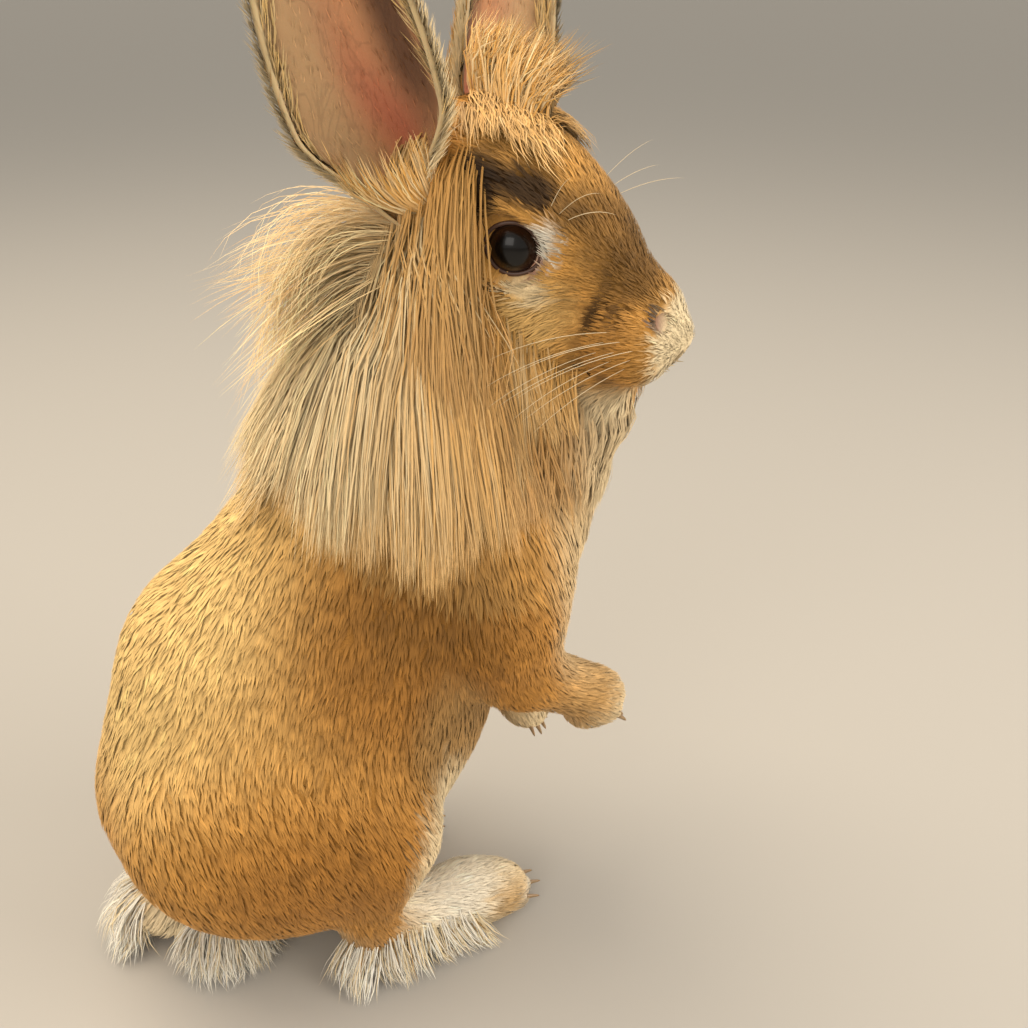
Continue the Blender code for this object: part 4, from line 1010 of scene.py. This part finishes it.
def wisps(material, count, rng):
    """Loose hair that stands away from the nape, with some that hangs from it."""
    t = rng.random(count)
    roots = np.stack([16 - 10 * t, rng.uniform(-20, 6, count), 271 - 14 * t], axis=1) / 1000
    roots = settle(roots, -mm(2), 3)
    angle = np.radians(10 - 50 * t + rng.normal(0, 7, count))
    reach = mm(68) * rng.uniform(0.4, 1.05, count)
    ways = np.stack([-np.cos(angle), rng.normal(0, 0.16, count), np.sin(angle)], axis=1)
    tips = roots + ways * reach[:, None]
    bends = (roots + tips) / 2 + np.outer(drawn(7, 15, count, rng), (-0.3, 0, 1.0))
    hangs = rng.random(count) < 0.3
    fall = rng.uniform(0.7, 1.15, (count, 1))
    tips[hangs] = (roots + fall * mm(-44, 0, -34))[hangs]
    bends[hangs] = (roots + fall * mm(-42, 0, 14))[hangs]
    colours = mane_colours(np.full(count, 0.85), rng)
    free_strands("nape_wisps", bowed(roots, bends, tips, 7), np.tile([-0.4, -0.5, 0.8], (count, 1)),
                 drawn(0.25, 0.5, count, rng), colours, material, rng, clump=30, pull=0.8, wave=mm(2.5))


def forelock(material, count, rng):
    """The tuft that stands up between the ears, and the loose hair that falls from it over the forehead."""
    t = rng.random(count)
    turn = rng.uniform(0, 2 * math.pi, count)
    out = np.sqrt(rng.random(count))
    spots = np.stack([-31 + 21 * t, 10 * out * np.sin(turn), np.full(count, 28)], axis=1) / 1000
    roots = settle(from_head(spots), -mm(1.5), 4)
    ways = np.stack([0.42 * t, -0.16 * out * np.sin(turn), 1.0 - 0.3 * t], axis=1)
    ways = ways + rng.normal(0, 0.14, (count, 3))
    reach = mm(26) * rng.beta(2.4, 1.5, count) * 1.08
    tips = roots + unit(ways) * reach[:, None]
    bends = roots + np.stack([-4 + 3 * t, 0 * t, 15 - 5 * t], axis=1) / 1000
    facing = np.stack([np.cos(turn), np.sin(turn), 0.7 + 0 * turn], axis=1) @ HEAD_AXES.T
    free_strands("forelock", bowed(roots, bends, tips), facing, drawn(0.3, 0.6, count, rng),
                 mane_colours(rng.uniform(0.4, 0.85, count), rng), material, rng, clump=30, pull=0.4,
                 wave=mm(2))
    side = rng.choice([-1, 1], count)
    spots = np.stack([-34 + 24 * t, side * rng.uniform(1, 12, count), np.full(count, 27)], axis=1) / 1000
    roots = settle(from_head(spots), 0.0, 4)
    flows = np.stack([0.5 + 0.4 * t, side * (1 - 0.5 * t), 0 * t], axis=1) + rng.normal(0, 0.12, (count, 3))
    lifts = drawn(0.5, 4, count, rng)
    lengths = (6 + 14 * rng.beta(1.5, 2.5, count)) / 1000
    strands("crown", roots, flows @ HEAD_AXES.T, lengths, np.outer(lifts, LIE), drawn(0.3, 0.6, count, rng),
            mane_colours(rng.uniform(0.2, 0.6, count), rng), material, rng, clump=24, pull=0.5)


# Each lobe: its middle on the floor, the first and last angle of its fan, and its hair's reach
TAIL_LOBES = ((mm(-88, 2), 80, 236, mm(28)), (mm(-66, -15), 208, 330, mm(25)))


def tail_brush(material, count, rng):
    """The tail's long white hair, in two lobes that lie on the floor."""
    for k, (centre, first, last, reach) in enumerate(TAIL_LOBES):
        angle = np.radians(rng.uniform(first, last, count))
        turned = angle + rng.normal(0, 0.2, count)
        ways = np.stack([np.cos(angle), np.sin(angle), 0 * angle], axis=1)
        tip_ways = np.stack([np.cos(turned), np.sin(turned), 0 * angle], axis=1)
        height = rng.random(count)
        middle = np.append(centre, 0)
        roots = middle + ways * mm(6) + np.outer(mm(4) + mm(20) * height, (0, 0, 1))
        far = reach * rng.uniform(0.4, 1.08, count)
        tips = middle + tip_ways * far[:, None] + np.outer(mm(0.8) + mm(8) * height ** 2, (0, 0, 1))
        bends = middle + ways * (far * 0.8)[:, None] + np.outer(mm(8) + mm(16) * height, (0, 0, 1))
        colours = mixed(count, ((WHITE, 0.8), (CREAM, 0.2)), rng)
        out = ways * 0.5 + (0, 0, 0.9)
        free_strands(f"tail_brush_{k + 1}", bowed(roots, bends, tips), out, drawn(0.3, 0.65, count, rng),
                     colours, material, rng, clump=26, pull=0.6, wave=mm(1.6))


def foot_brush(name, foot, toe, side, material, count, rng):
    """The long hair along the outer edge and heel of a hind foot."""
    t = rng.uniform(-0.2, 1.0, count)
    starts = foot.start + np.outer(np.clip(t, 0, 0.9), toe.centre - foot.start)
    heel = t < 0.05
    ways = np.where(heel[:, None], np.stack([-0.9 - 2 * t, side + 0 * t, 0 * t], axis=1), (-0.3, side, 0.0))
    ways = unit(ways + rng.normal(0, 0.22, (count, 3)) * (1, 1, 0))
    height = rng.random(count)
    roots = starts + ways * mm(8) + np.outer(mm(-5) + mm(12) * height, (0, 0, 1))
    reach = mm(11) * (1.2 - 0.45 * t) * rng.uniform(0.4, 1.15, count)
    outs = starts + ways * (foot.start_radius + reach * 0.6)[:, None]
    tips = outs * (1, 1, 0) + ways * (reach * 0.4)[:, None]
    forward = 12 * np.maximum(t, 0) + rng.normal(0, 2, count)
    tips += np.stack([forward, 0 * t, 0.6 + 3 * height], axis=1) / 1000
    colours = mixed(count, ((CREAM, 0.4), (WHITE, 0.55), (TAN, 0.05)), rng)
    free_strands(name, bowed(roots, outs + np.outer(mm(-3) + mm(9) * height, (0, 0, 1)), tips),
                 ways * 0.6 + (0, 0, 0.8), drawn(0.3, 0.65, count, rng), colours, material, rng,
                 clump=28, pull=0.75, wave=mm(1.6))


def closed_mesh(name, points, faces):
    """A smooth closed mesh in the part's frame, from points in the rabbit's own axes."""
    mesh = bpy.data.meshes.new(name)
    mesh.from_pydata([tuple(p) for p in points - ORIGIN], [], faces)
    bm = bmesh.new()
    bm.from_mesh(mesh)
    bmesh.ops.recalc_face_normals(bm, faces=bm.faces)
    bm.to_mesh(mesh)
    bm.free()
    smooth_shaded(mesh)
    return mesh


# Ears
def ear_frame(t, ear):
    """Centre, width way and facing way of an ear's section, with t from 0 at the root to 1."""
    root, middle, tip, facing = ear
    centre = (1 - t) ** 2 * root + 2 * t * (1 - t) * (2 * middle - (root + tip) / 2) + t ** 2 * tip
    along = (1 - t) * (2 * middle - (root + tip) / 2 - root) + t * (tip - 2 * middle + (root + tip) / 2)
    along = along / np.linalg.norm(along)
    wide = np.cross(along, facing)
    wide /= np.linalg.norm(wide)
    return centre, wide, np.cross(wide, along)


def ear_line(t, ear, skin, us):
    """Points across an ear at height t: skin is 0 on its back and the ear's thickness inside the cup."""
    centre, wide, face = ear_frame(t, ear)
    sunk = max(-t, 0) / 0.18
    centre = centre + (HEAD_CENTRE - centre) * sunk * 0.2
    rise = min(max(t, 0) / EAR_WIDEST, 1)
    rise = rise * rise * (3 - 2 * rise)
    fall = max((t - EAR_WIDEST) / (1.004 - EAR_WIDEST), 0)
    half = EAR_WIDTH / 2 * (EAR_ROOT_WIDTH + (1 - EAR_ROOT_WIDTH) * rise) * math.sqrt(1 - fall ** 2.4)
    half *= 1 + 2.2 * min(t, 0)
    depth = EAR_DEPTH * (0.35 + 0.65 * (1 - t) ** 0.6) * min(1, half / mm(8))
    curl = math.radians(142 - 72 * min(max(t, 0) / 0.8, 1) ** 0.7)
    skin = min(skin, half * 0.35)
    a = curl * us
    across = (half - skin) * np.sin(a) / math.sin(min(curl, math.pi / 2))
    deep = skin + (depth - skin) * (1 - np.cos(a)) / (1 - math.cos(curl))
    return centre + np.outer(across, wide) + np.outer(deep - depth * 0.5, face)


EAR_TAN = shade("#c9a377")
EAR_PINK = shade("#d09669")
EAR_FLUSH = shade("#b86048")
EAR_SHADE = shade("#66432b")
EAR_OLIVE = shade("#6a5730")
EAR_RIM = shade("#dcc292")
EAR_BACK = shade("#9a7d4c")


def cup_colour(u, t):
    """The inside of an ear across its width u: a red streak, shade beyond it and olive by the rims."""
    c = np.repeat(EAR_TAN[None], len(u), axis=0)

    def paint(colour, share):
        c[:] += (colour - c) * share[:, None]

    paint(EAR_PINK, smooth(u, -0.35, 0.05))
    paint(EAR_SHADE, smooth(u, 0.0, 0.36) * (0.35 + 0.65 * smooth(t, 0.1, 0.4)))
    streak = u - (0.30 - 0.85 * t)
    paint(EAR_FLUSH, np.exp(-(streak / 0.2) ** 2) * (0.75 - 0.5 * smooth(t, 0.25, 0.6)))
    paint(EAR_PINK, np.exp(-((u - 0.66) / 0.06) ** 2) * 0.7)
    paint(EAR_OLIVE, np.exp(-((np.abs(u) - 0.82) / 0.07) ** 2) * 0.85)
    paint(EAR_RIM, smooth(np.abs(u), 0.88, 0.97))
    return c


def make_ear(name, material, coat_material, rng):
    """A thin cupped ear: bare pink skin inside, short hair on its back and a pale fringe round its rim."""
    spec = EARS[name]
    heights = np.concatenate([np.linspace(-0.18, 0.9, 52), np.linspace(0.91, 1, 12)])
    us = np.linspace(-1, 1, 29)
    rings = []
    for t in heights:
        outer = ear_line(t, spec, mm(0.5), us)
        inner = ear_line(t, spec, EAR_THICKNESS - mm(0.3), us[::-1])
        rings.append(np.concatenate([outer, inner]))
    points = np.array(rings)
    count = points.shape[1]
    faces = []
    for k in range(len(heights) - 1):
        for i in range(count):
            j = (i + 1) % count
            faces.append((k * count + i, k * count + j, (k + 1) * count + j, (k + 1) * count + i))
    ends = [tuple(range(count)), tuple(range(len(heights) * count - 1, (len(heights) - 1) * count - 1, -1))]
    mesh = closed_mesh(name, points.reshape(-1, 3), faces + ends)
    inside = np.tile(np.repeat([0, 1], len(us)), len(heights))
    u = np.tile(np.concatenate([us, us[::-1]]), len(heights))
    t = np.repeat(heights, count)
    turned = 1 if name == "ear_right" else -1
    back = EAR_BACK + (EAR_RIM - EAR_BACK) * smooth(np.abs(u), 0.78, 0.98)[:, None] * 0.6
    tint(mesh, np.where(inside[:, None] == 1, cup_colour(u * turned, t), back))
    piece(name + "_skin", mesh, material, name)

    # Hair on the back lies up the ear, the rim's stands off it, and a little lies in the cup's edges
    groups = (("back", 3000, 0, 5.5, (-1, 1), 0.15, EAR_BACK, GOLD),
              ("rim", 1300, None, 5.5, (0.9, 1.0), 0.55, EAR_RIM, CREAM),
              ("cup", 1900, 1, 4.5, (0.0, 0.97), 0.14, None, None),
              ("edge", 800, 1, 9, (0.70, 0.96), 0.30, EAR_RIM, GOLD_LIGHT))
    for kind, count, layer, length, band, lift, first, second in groups:
        count = counted(count)
        t = rng.uniform(0.0, 0.97, count) ** (1.0 if kind != "edge" else 1.6)
        u = rng.uniform(*band, count) * (1 if kind == "back" else rng.choice([-1, 1], count))
        skin = mm(0.6) if layer != 1 else EAR_THICKNESS - mm(0.5)
        around = np.array([ear_line(a, spec, skin, np.array([b - 0.02, b, b + 0.02])) for a, b in zip(t, u)])
        above = np.array([ear_line(min(a + 0.02, 1), spec, skin, np.array([b]))[0] for a, b in zip(t, u)])
        along = unit(above - around[:, 1])
        normal = unit(np.cross(around[:, 2] - around[:, 0], along))
        frames = np.array([ear_frame(a, spec)[2] for a in t])
        sign = np.where(np.einsum("ij,ij->i", normal, frames) * (1 if layer == 1 else -1) < 0, -1, 1)
        normal *= sign[:, None]
        if kind == "rim":
            outward = unit(around[:, 1] - np.array([ear_frame(a, spec)[0] for a in t]))
            normal = unit(outward + normal * 0.2)
        lengths = mm(length) * rng.uniform(0.6, 1.1, count)
        along = unit(along + rng.normal(0, 0.12, (count, 3)))
        steps = np.linspace(0, 1, 3)[None, :, None]
        base = around[:, 1] - normal * mm(0.3)
        paths = base[:, None] + along[:, None] * steps * lengths[:, None, None]
        paths = paths + normal[:, None] * (steps ** 0.7) * lift * lengths[:, None, None]
        paths[:, :, 2] = np.minimum(paths[:, :, 2], EAR_TOP)
        outs = np.repeat(normal[:, None], 3, axis=1)
        if kind == "cup":
            colours = cup_colour(u * turned, t) * 1.1
        else:
            colours = first + (second - first) * rng.random(count)[:, None]
        colours = colours * rng.normal(1, 0.1, count)[:, None]
        tints = (colours * 0.9, colours * 1.08)
        blades(f"{name}_{kind}_hair", paths, outs, normal, np.full(count, mm(0.6)), tints, coat_material)


def ear_base(material, count, rng):
    """Hair round the foot of each ear: some stands up against it, and the rest falls into the mane."""
    for name, (root, middle, _, _) in EARS.items():
        axis = (middle - root) / np.linalg.norm(middle - root)
        frame = axes_of(axis, (-1, 0, 0))
        turn = rng.uniform(0, 2 * math.pi, count)
        ring = np.outer(np.cos(turn), frame[:, 1]) + np.outer(np.sin(turn), frame[:, 2])
        roots = settle(root - axis * mm(4) + ring * mm(11), -mm(1), 6)
        outs = unit(ring + 0.3 * axis)
        tips = root + ring * (mm(12) + mm(5) * rng.random(count))[:, None]
        tips = tips + axis * (mm(6) + mm(12) * rng.random(count))[:, None]
        bends = root + ring * mm(14)
        colours = mane_colours(rng.uniform(0.4, 0.9, count), rng)
        free_strands(name + "_foot_hair", bowed(roots, bends, tips), outs, drawn(0.4, 0.8, count, rng),
                     colours, material, rng, clump=14, pull=0.4)
        flows = np.array([-0.25, -0.1, -1.0]) + ring * 0.5
        lifts = drawn(3, 9, count, rng)
        strands(name + "_fall", settle(root - axis * mm(2) + ring * mm(9), 0.0, 6), flows,
                drawn(28, 62, count, rng), np.outer(lifts, (0.9, 1.0, 0.9, 0.75)),
                drawn(0.45, 0.9, count, rng), colours, material, rng, clump=24, pull=0.6)


# Eyes
PUPIL = shade("#0b0705")
IRIS = shade("#2c180d")
EYE_WHITE = shade("#5a3a30")


def eye_axes(side):
    """Columns for an eye's own frame, with z along its line of sight."""
    return axes_of(np.array(EYE_LOOK) * (1, side, 1), (0, 0, 1))[:, [1, 2, 0]]


def make_eye(name, side, material):
    """A dark glossy eyeball with a slight bulge of its clear front."""
    sphere, faces = unit_sphere(64)
    bulge = 1 + 0.05 * smooth(sphere[:, 2], 0.70, 1.0)
    points = from_head(EYE_PLACE * (1, side, 1) + (sphere * EYE_RADIUS * bulge[:, None]) @ eye_axes(side).T)
    mesh = bpy.data.meshes.new(name)
    mesh.from_pydata([tuple(p) for p in points - ORIGIN], [], faces)
    smooth_shaded(mesh)
    # The ring of the brown iris round its wide pupil
    ring = smooth(sphere[:, 2], 0.60, 0.66) * (1 - smooth(sphere[:, 2], 0.80, 0.86))
    white = 1 - smooth(sphere[:, 2], 0.52, 0.60)
    colours = np.array([PUPIL]) + (IRIS - PUPIL) * ring[:, None]
    colours = colours + (EYE_WHITE - colours) * white[:, None]
    tint(mesh, colours)
    piece(name + "_ball", mesh, material, name)


def make_lids(side, material):
    """The bare rim of the eyelids, drawn out to a corner before and behind."""
    around = 72
    across = 10
    points = []
    for i in range(around):
        a = i / around * 2 * math.pi
        corner = abs(math.cos(a)) ** 6
        reach = EYE_OPENING * (1.0 + 0.12 * corner)
        out = math.sqrt(EYE_RADIUS ** 2 - EYE_OPENING ** 2) + mm(0.35)
        for j in range(across):
            b = j / across * 2 * math.pi
            radial = reach + mm(0.25) + mm(0.65) * math.cos(b)
            points.append((radial * math.cos(a), radial * math.sin(a) * 0.97,
                           out - mm(0.3) * corner + mm(0.55) * math.sin(b)))
    faces = [(i * across + j, ((i + 1) % around) * across + j,
              ((i + 1) % around) * across + (j + 1) % across, i * across + (j + 1) % across)
             for i in range(around) for j in range(across)]
    placed = from_head(EYE_PLACE * (1, side, 1) + np.array(points) @ eye_axes(side).T)
    name = "eyelid_rim_" + ("left" if side > 0 else "right")
    piece(name, closed_mesh(name, placed, faces), material)


# Claws
CLAW_LENGTHS = {"hind": mm(8.5), "fore": mm(6)}
CLAW_RADIUS = mm(1.5)
CLAW_SIDES = 12


def skin_point(inside, way):
    """Where a straight line out of the body meets its outside."""
    p = np.array(inside, float)
    for _ in range(40):
        p = p - way * body_field(p[None])[0]
    return p


def make_claws(paw, material):
    """The four curved claws of a paw, round in section and drawn to blunt points."""
    stages = np.linspace(0, 1, 9)
    points = []
    faces = []
    for i in range(TOE_COUNT):
        start, end = toe_line(paw, i)
        way = (end - start) / np.linalg.norm(end - start)
        length = CLAW_LENGTHS[paw.split("_")[0]]
        tip_of_toe = skin_point(end, way)
        base = len(points)
        for t in stages:
            centre = tip_of_toe + way * length * (t - 0.5) + np.array([0, 0, -1.0]) * length * 0.16 * t * t
            frame = axes_of(way + np.array([0, 0, -0.32]) * t, (0, 0, 1))
            radius = CLAW_RADIUS * (1 - 0.72 * t) * (1 if t < 1 else 0.5)
            points += [centre + radius * (frame[:, 1] * 0.8 * math.cos(a) + frame[:, 2] * math.sin(a))
                       for a in np.arange(CLAW_SIDES) * 2 * math.pi / CLAW_SIDES]
        for k in range(len(stages) - 1):
            for j in range(CLAW_SIDES):
                a = base + k * CLAW_SIDES + j
                b = base + k * CLAW_SIDES + (j + 1) % CLAW_SIDES
                faces.append((a, b, b + CLAW_SIDES, a + CLAW_SIDES))
        faces.append(tuple(range(base, base + CLAW_SIDES)))
        last = base + (len(stages) - 1) * CLAW_SIDES
        faces.append(tuple(range(last + CLAW_SIDES - 1, last - 1, -1)))
    mesh = closed_mesh("claws_" + paw, np.array(points), faces)
    piece("claws_" + paw, mesh, material, *(f"claw_{paw}_{i + 1}" for i in range(TOE_COUNT)))


def whiskers(material, rng):
    """Fine stiff hairs from the pads of the lip, and a few over the eyes."""
    starts = []
    ways = []
    lengths = []
    for side in (1, -1):
        # Three rows of three on the pad, then three over the eye
        for row in range(3):
            for k in range(3):
                starts.append((46 - 5.4 * k, side * 20, -4 - 4.2 * row))
                ways.append((-0.55 - 0.12 * k, side * 0.62, -0.34 - 0.22 * row))
                lengths.append(37 - 3 * row + rng.uniform(-5, 4))
        for k in range(3):
            starts.append((6 + 3 * k, side * 19, 17))
            ways.append((0.1 + 0.2 * k, side * 0.5, 0.75))
            lengths.append(24 + rng.uniform(-4, 3))
    starts = from_head(np.array(starts) / 1000)
    roots = settle(starts, -mm(0.8), 8)
    ways = unit(np.array(ways)) @ HEAD_AXES.T
    lengths = np.array(lengths)[:, None] / 1000
    tips = roots + ways * lengths + np.outer(lengths[:, 0] * 0.22, (0, 0, -1.0))
    bends = roots + ways * lengths * 0.55
    paths = bowed(roots, bends, tips, 8)
    count = len(roots)
    out = np.tile(HEAD_AXES[:, 2], (count, 1))
    outs = np.repeat(out[:, None], paths.shape[1], axis=1)
    tone = np.tile(shade("#d9c6a2"), (count, 1))
    blades("whiskers", paths, outs, outs[:, 0], np.full(count, mm(0.2)), (tone, tone), material, thick=0.9,
           softness=0.2)


# What the pieces are made of
def skin_material():
    """Dense underfur seen between the tufts: matt, finely streaked."""
    material, tree, shader = surface("dense_underfur", Roughness=0.9, Sheen_Weight=0.15)
    shader.inputs["Specular IOR Level"].default_value = 0.15
    own = add(tree, "ShaderNodeAttribute", attribute_name="tint")
    place = add(tree, "ShaderNodeTexCoord")
    # Fine down, with a grain of about 0.6 mm, that breaks the light into single hairs
    down = add(tree, "ShaderNodeTexNoise", {"Vector": place.outputs["Object"]}, Scale=1600.0, Detail=2.0)
    strength = add(tree, "ShaderNodeMapRange", {"Value": down.outputs["Fac"]},
                   From_Min=0.3, From_Max=0.7, To_Min=0.88, To_Max=1.15)
    mixed_tone = add(tree, "ShaderNodeVectorMath", {0: own.outputs["Color"], 1: strength.outputs["Result"]},
                     operation="MULTIPLY")
    relief = add(tree, "ShaderNodeBump", {"Height": down.outputs["Fac"]}, Strength=0.5, Distance=0.0004)
    tree.links.new(mixed_tone.outputs["Vector"], shader.inputs["Base Color"])
    tree.links.new(relief.outputs["Normal"], shader.inputs["Normal"])
    return material


def ear_skin_material():
    """Thin bare skin with fine branching vessels; light glows through it a little."""
    material, tree, shader = surface("thin_ear_skin", Roughness=0.55, Subsurface_Weight=0.12,
                                     Subsurface_Scale=0.002, Sheen_Weight=0.25)
    shader.inputs["Subsurface Radius"].default_value = (1.0, 0.35, 0.2)
    shader.inputs["Specular IOR Level"].default_value = 0.3
    own = add(tree, "ShaderNodeAttribute", attribute_name="tint")
    place = add(tree, "ShaderNodeTexCoord")
    # Vessels: soft dark lines some 6 mm apart that run up the ear
    stretch = add(tree, "ShaderNodeMapping", {"Vector": place.outputs["Object"]}, Scale=(1.0, 1.0, 0.28))
    cells = add(tree, "ShaderNodeTexNoise", {"Vector": stretch.outputs["Vector"]}, Scale=150.0, Detail=4.0,
                Distortion=0.6)
    line = add(tree, "ShaderNodeMath", {0: cells.outputs["Fac"]}, operation="SUBTRACT")
    line.inputs[1].default_value = 0.5
    thin = add(tree, "ShaderNodeMath", {0: line.outputs["Value"]}, operation="ABSOLUTE")
    vessel = add(tree, "ShaderNodeMapRange", {"Value": thin.outputs["Value"]},
                 From_Min=0.0, From_Max=0.035, To_Min=0.82, To_Max=1.0)
    fine = add(tree, "ShaderNodeTexNoise", {"Vector": place.outputs["Object"]}, Scale=1400.0, Detail=2.0)
    toned = add(tree, "ShaderNodeVectorMath", {0: own.outputs["Color"], 1: vessel.outputs["Result"]},
                operation="MULTIPLY")
    relief = add(tree, "ShaderNodeBump", {"Height": fine.outputs["Fac"]}, Strength=0.3, Distance=0.0003)
    tree.links.new(toned.outputs["Vector"], shader.inputs["Base Color"])
    tree.links.new(relief.outputs["Normal"], shader.inputs["Normal"])
    return material


def plain_material(name, code, **settings):
    material, _, shader = surface(name, **settings)
    shader.inputs["Base Color"].default_value = colour_of(code)
    return material


def eye_material():
    """Wet, near-black eye: a clear coat over the brown iris gives one sharp window of light."""
    material, tree, shader = surface("wet_dark_eye", Roughness=0.25, Coat_Weight=1.0)
    shader.inputs["Coat Roughness"].default_value = 0.02
    shader.inputs["Specular IOR Level"].default_value = 0.2
    shader.inputs["Coat IOR"].default_value = 1.25
    own = add(tree, "ShaderNodeAttribute", attribute_name="tint")
    tree.links.new(own.outputs["Color"], shader.inputs["Base Color"])
    return material


def claw_material():
    """Horn: pale brown, slightly translucent, smooth but not wet."""
    material, tree, shader = surface("brown_claw_horn", Roughness=0.32, Subsurface_Weight=0.1,
                                     Subsurface_Scale=0.001)
    place = add(tree, "ShaderNodeTexCoord")
    # Uneven growth of the horn, in patches about 1 mm across
    lines = add(tree, "ShaderNodeTexNoise", {"Vector": place.outputs["Object"]}, Scale=900.0, Detail=2.0)
    tone = add(tree, "ShaderNodeMix", {"Factor": lines.outputs["Fac"]}, data_type="RGBA")
    tone.inputs[6].default_value = colour_of("#7c6348")
    tone.inputs[7].default_value = colour_of("#b3946c")
    tree.links.new(tone.outputs[2], shader.inputs["Base Color"])
    return material


# Stage, light and camera
FLOOR_HALF = 40.0


def stand():
    """A plain pale floor that the rabbit stands on."""
    mesh = bpy.data.meshes.new("floor")
    mesh.from_pydata([(x * FLOOR_HALF, y * FLOOR_HALF, 0) for x, y in ((-1, -1), (1, -1), (1, 1), (-1, 1))],
                     [], [(0, 1, 2, 3)])
    floor = bpy.data.objects.new("floor", mesh)
    bpy.context.scene.collection.objects.link(floor)
    mesh.materials.append(plain_material("pale_matt_floor", "#b4afa7", Roughness=0.85))
    floor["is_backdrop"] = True


def softbox(name, place, size, power, code, aim):
    lamp = bpy.data.lights.new(name, "AREA")
    lamp.shape = "SQUARE"
    lamp.size = size
    lamp.energy = power
    lamp.color = tuple(shade(code))
    obj = bpy.data.objects.new(name, lamp)
    bpy.context.scene.collection.objects.link(obj)
    way = Vector(aim) - Vector(place)
    obj.location = place
    obj.rotation_euler = way.to_track_quat("-Z", "Y").to_euler()


def light():
    aim = (0.0, 0.0, 0.17)
    softbox("key", (-0.35, 0.30, 1.45), 1.0, 17, "#fff1dc", aim)
    softbox("fill", (-0.75, -1.05, 0.95), 0.9, 6, "#fff8f0", aim)
    softbox("front", (1.05, -0.55, 0.75), 0.8, 9.5, "#fff6ea", aim)
    world = bpy.data.worlds.new("pale_room")
    world.use_nodes = True
    world.node_tree.nodes["Background"].inputs["Color"].default_value = colour_of("#efe9df")
    world.node_tree.nodes["Background"].inputs["Strength"].default_value = 0.75
    bpy.context.scene.world = world
    bpy.context.scene.view_settings.view_transform = "Standard"


# The camera that took the photo, worked out from the rabbit's own proportions in it
CAMERA_YAW = math.radians(14)
CAMERA_PITCH = math.radians(27.4)
CAMERA_PLACE = (-0.02696, -0.31483, 0.333)
CAMERA_LENS_PX = 1031
PICTURE_PX = 1028


def camera():
    """The photo's view: near, from the right side and a little above."""
    lens = bpy.data.cameras.new("camera")
    lens.sensor_width = 36
    lens.lens = 36 * CAMERA_LENS_PX / PICTURE_PX
    lens.clip_start = 0.01
    obj = bpy.data.objects.new("camera", lens)
    bpy.context.scene.collection.objects.link(obj)
    level = Vector((math.sin(CAMERA_YAW), math.cos(CAMERA_YAW), 0))
    ahead = level * math.cos(CAMERA_PITCH) - Vector((0, 0, math.sin(CAMERA_PITCH)))
    right = Vector((math.cos(CAMERA_YAW), -math.sin(CAMERA_YAW), 0))
    above = right.cross(ahead)
    turn = Matrix((right, above, -ahead)).transposed().to_4x4()
    obj.matrix_world = Matrix.Translation(Vector(CAMERA_PLACE) - Vector(ORIGIN)) @ turn
    bpy.context.scene.camera = obj


def counted(number):
    return number


def corners():
    return [[float(v) for v in corner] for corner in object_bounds()]


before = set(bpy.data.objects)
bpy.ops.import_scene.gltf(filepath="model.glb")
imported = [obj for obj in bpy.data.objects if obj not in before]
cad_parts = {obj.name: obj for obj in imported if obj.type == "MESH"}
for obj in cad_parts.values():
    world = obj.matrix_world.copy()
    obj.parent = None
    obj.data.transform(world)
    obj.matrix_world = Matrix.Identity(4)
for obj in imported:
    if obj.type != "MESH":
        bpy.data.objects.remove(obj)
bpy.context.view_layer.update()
rng = np.random.default_rng(11)

short_fur = hair_material("short_golden_fur", 0.32, 0.18, 0.7, 0.15)
long_hair = hair_material("silky_mane_hair", 0.25, 0.14, 0.6, 0.15)
ear_fur = hair_material("fine_ear_fur", 0.3, 0.16, 0.7, 0.15)
lid_skin = plain_material("moist_lid_skin", "#563a2c", Roughness=0.4)
horn = claw_material()

skin = make_skin(skin_material())
short_coat(skin, short_fur, counted(64500), rng)
mane(long_hair, counted(17600), rng)
cheek_strands(long_hair, counted(4600), rng)
nape_strands(long_hair, counted(2200), rng)
wisps(long_hair, counted(800), rng)
forelock(long_hair, counted(1400), rng)
tail_brush(long_hair, counted(1750), rng)
for end, limbs, limb_side in (("right", RIGHT_LIMBS, -1), ("left", LEFT_LIMBS, 1)):
    foot_brush("foot_brush_" + end, limbs["foot"].form, limbs["forefoot"].form, limb_side, long_hair,
               counted(900), rng)
ear_base(long_hair, counted(620), rng)
ear_skin = ear_skin_material()
for ear_name in EARS:
    make_ear(ear_name, ear_skin, ear_fur, rng)
wet_eye = eye_material()
for eye_name, eye_side in (("eye_left", 1), ("eye_right", -1)):
    make_eye(eye_name, eye_side, wet_eye)
    make_lids(eye_side, lid_skin)
for paw_name in PAWS:
    make_claws(paw_name, horn)
whiskers(plain_material("stiff_whisker", "#d9c6a2", Roughness=0.4), rng)

stand()
light()
camera()
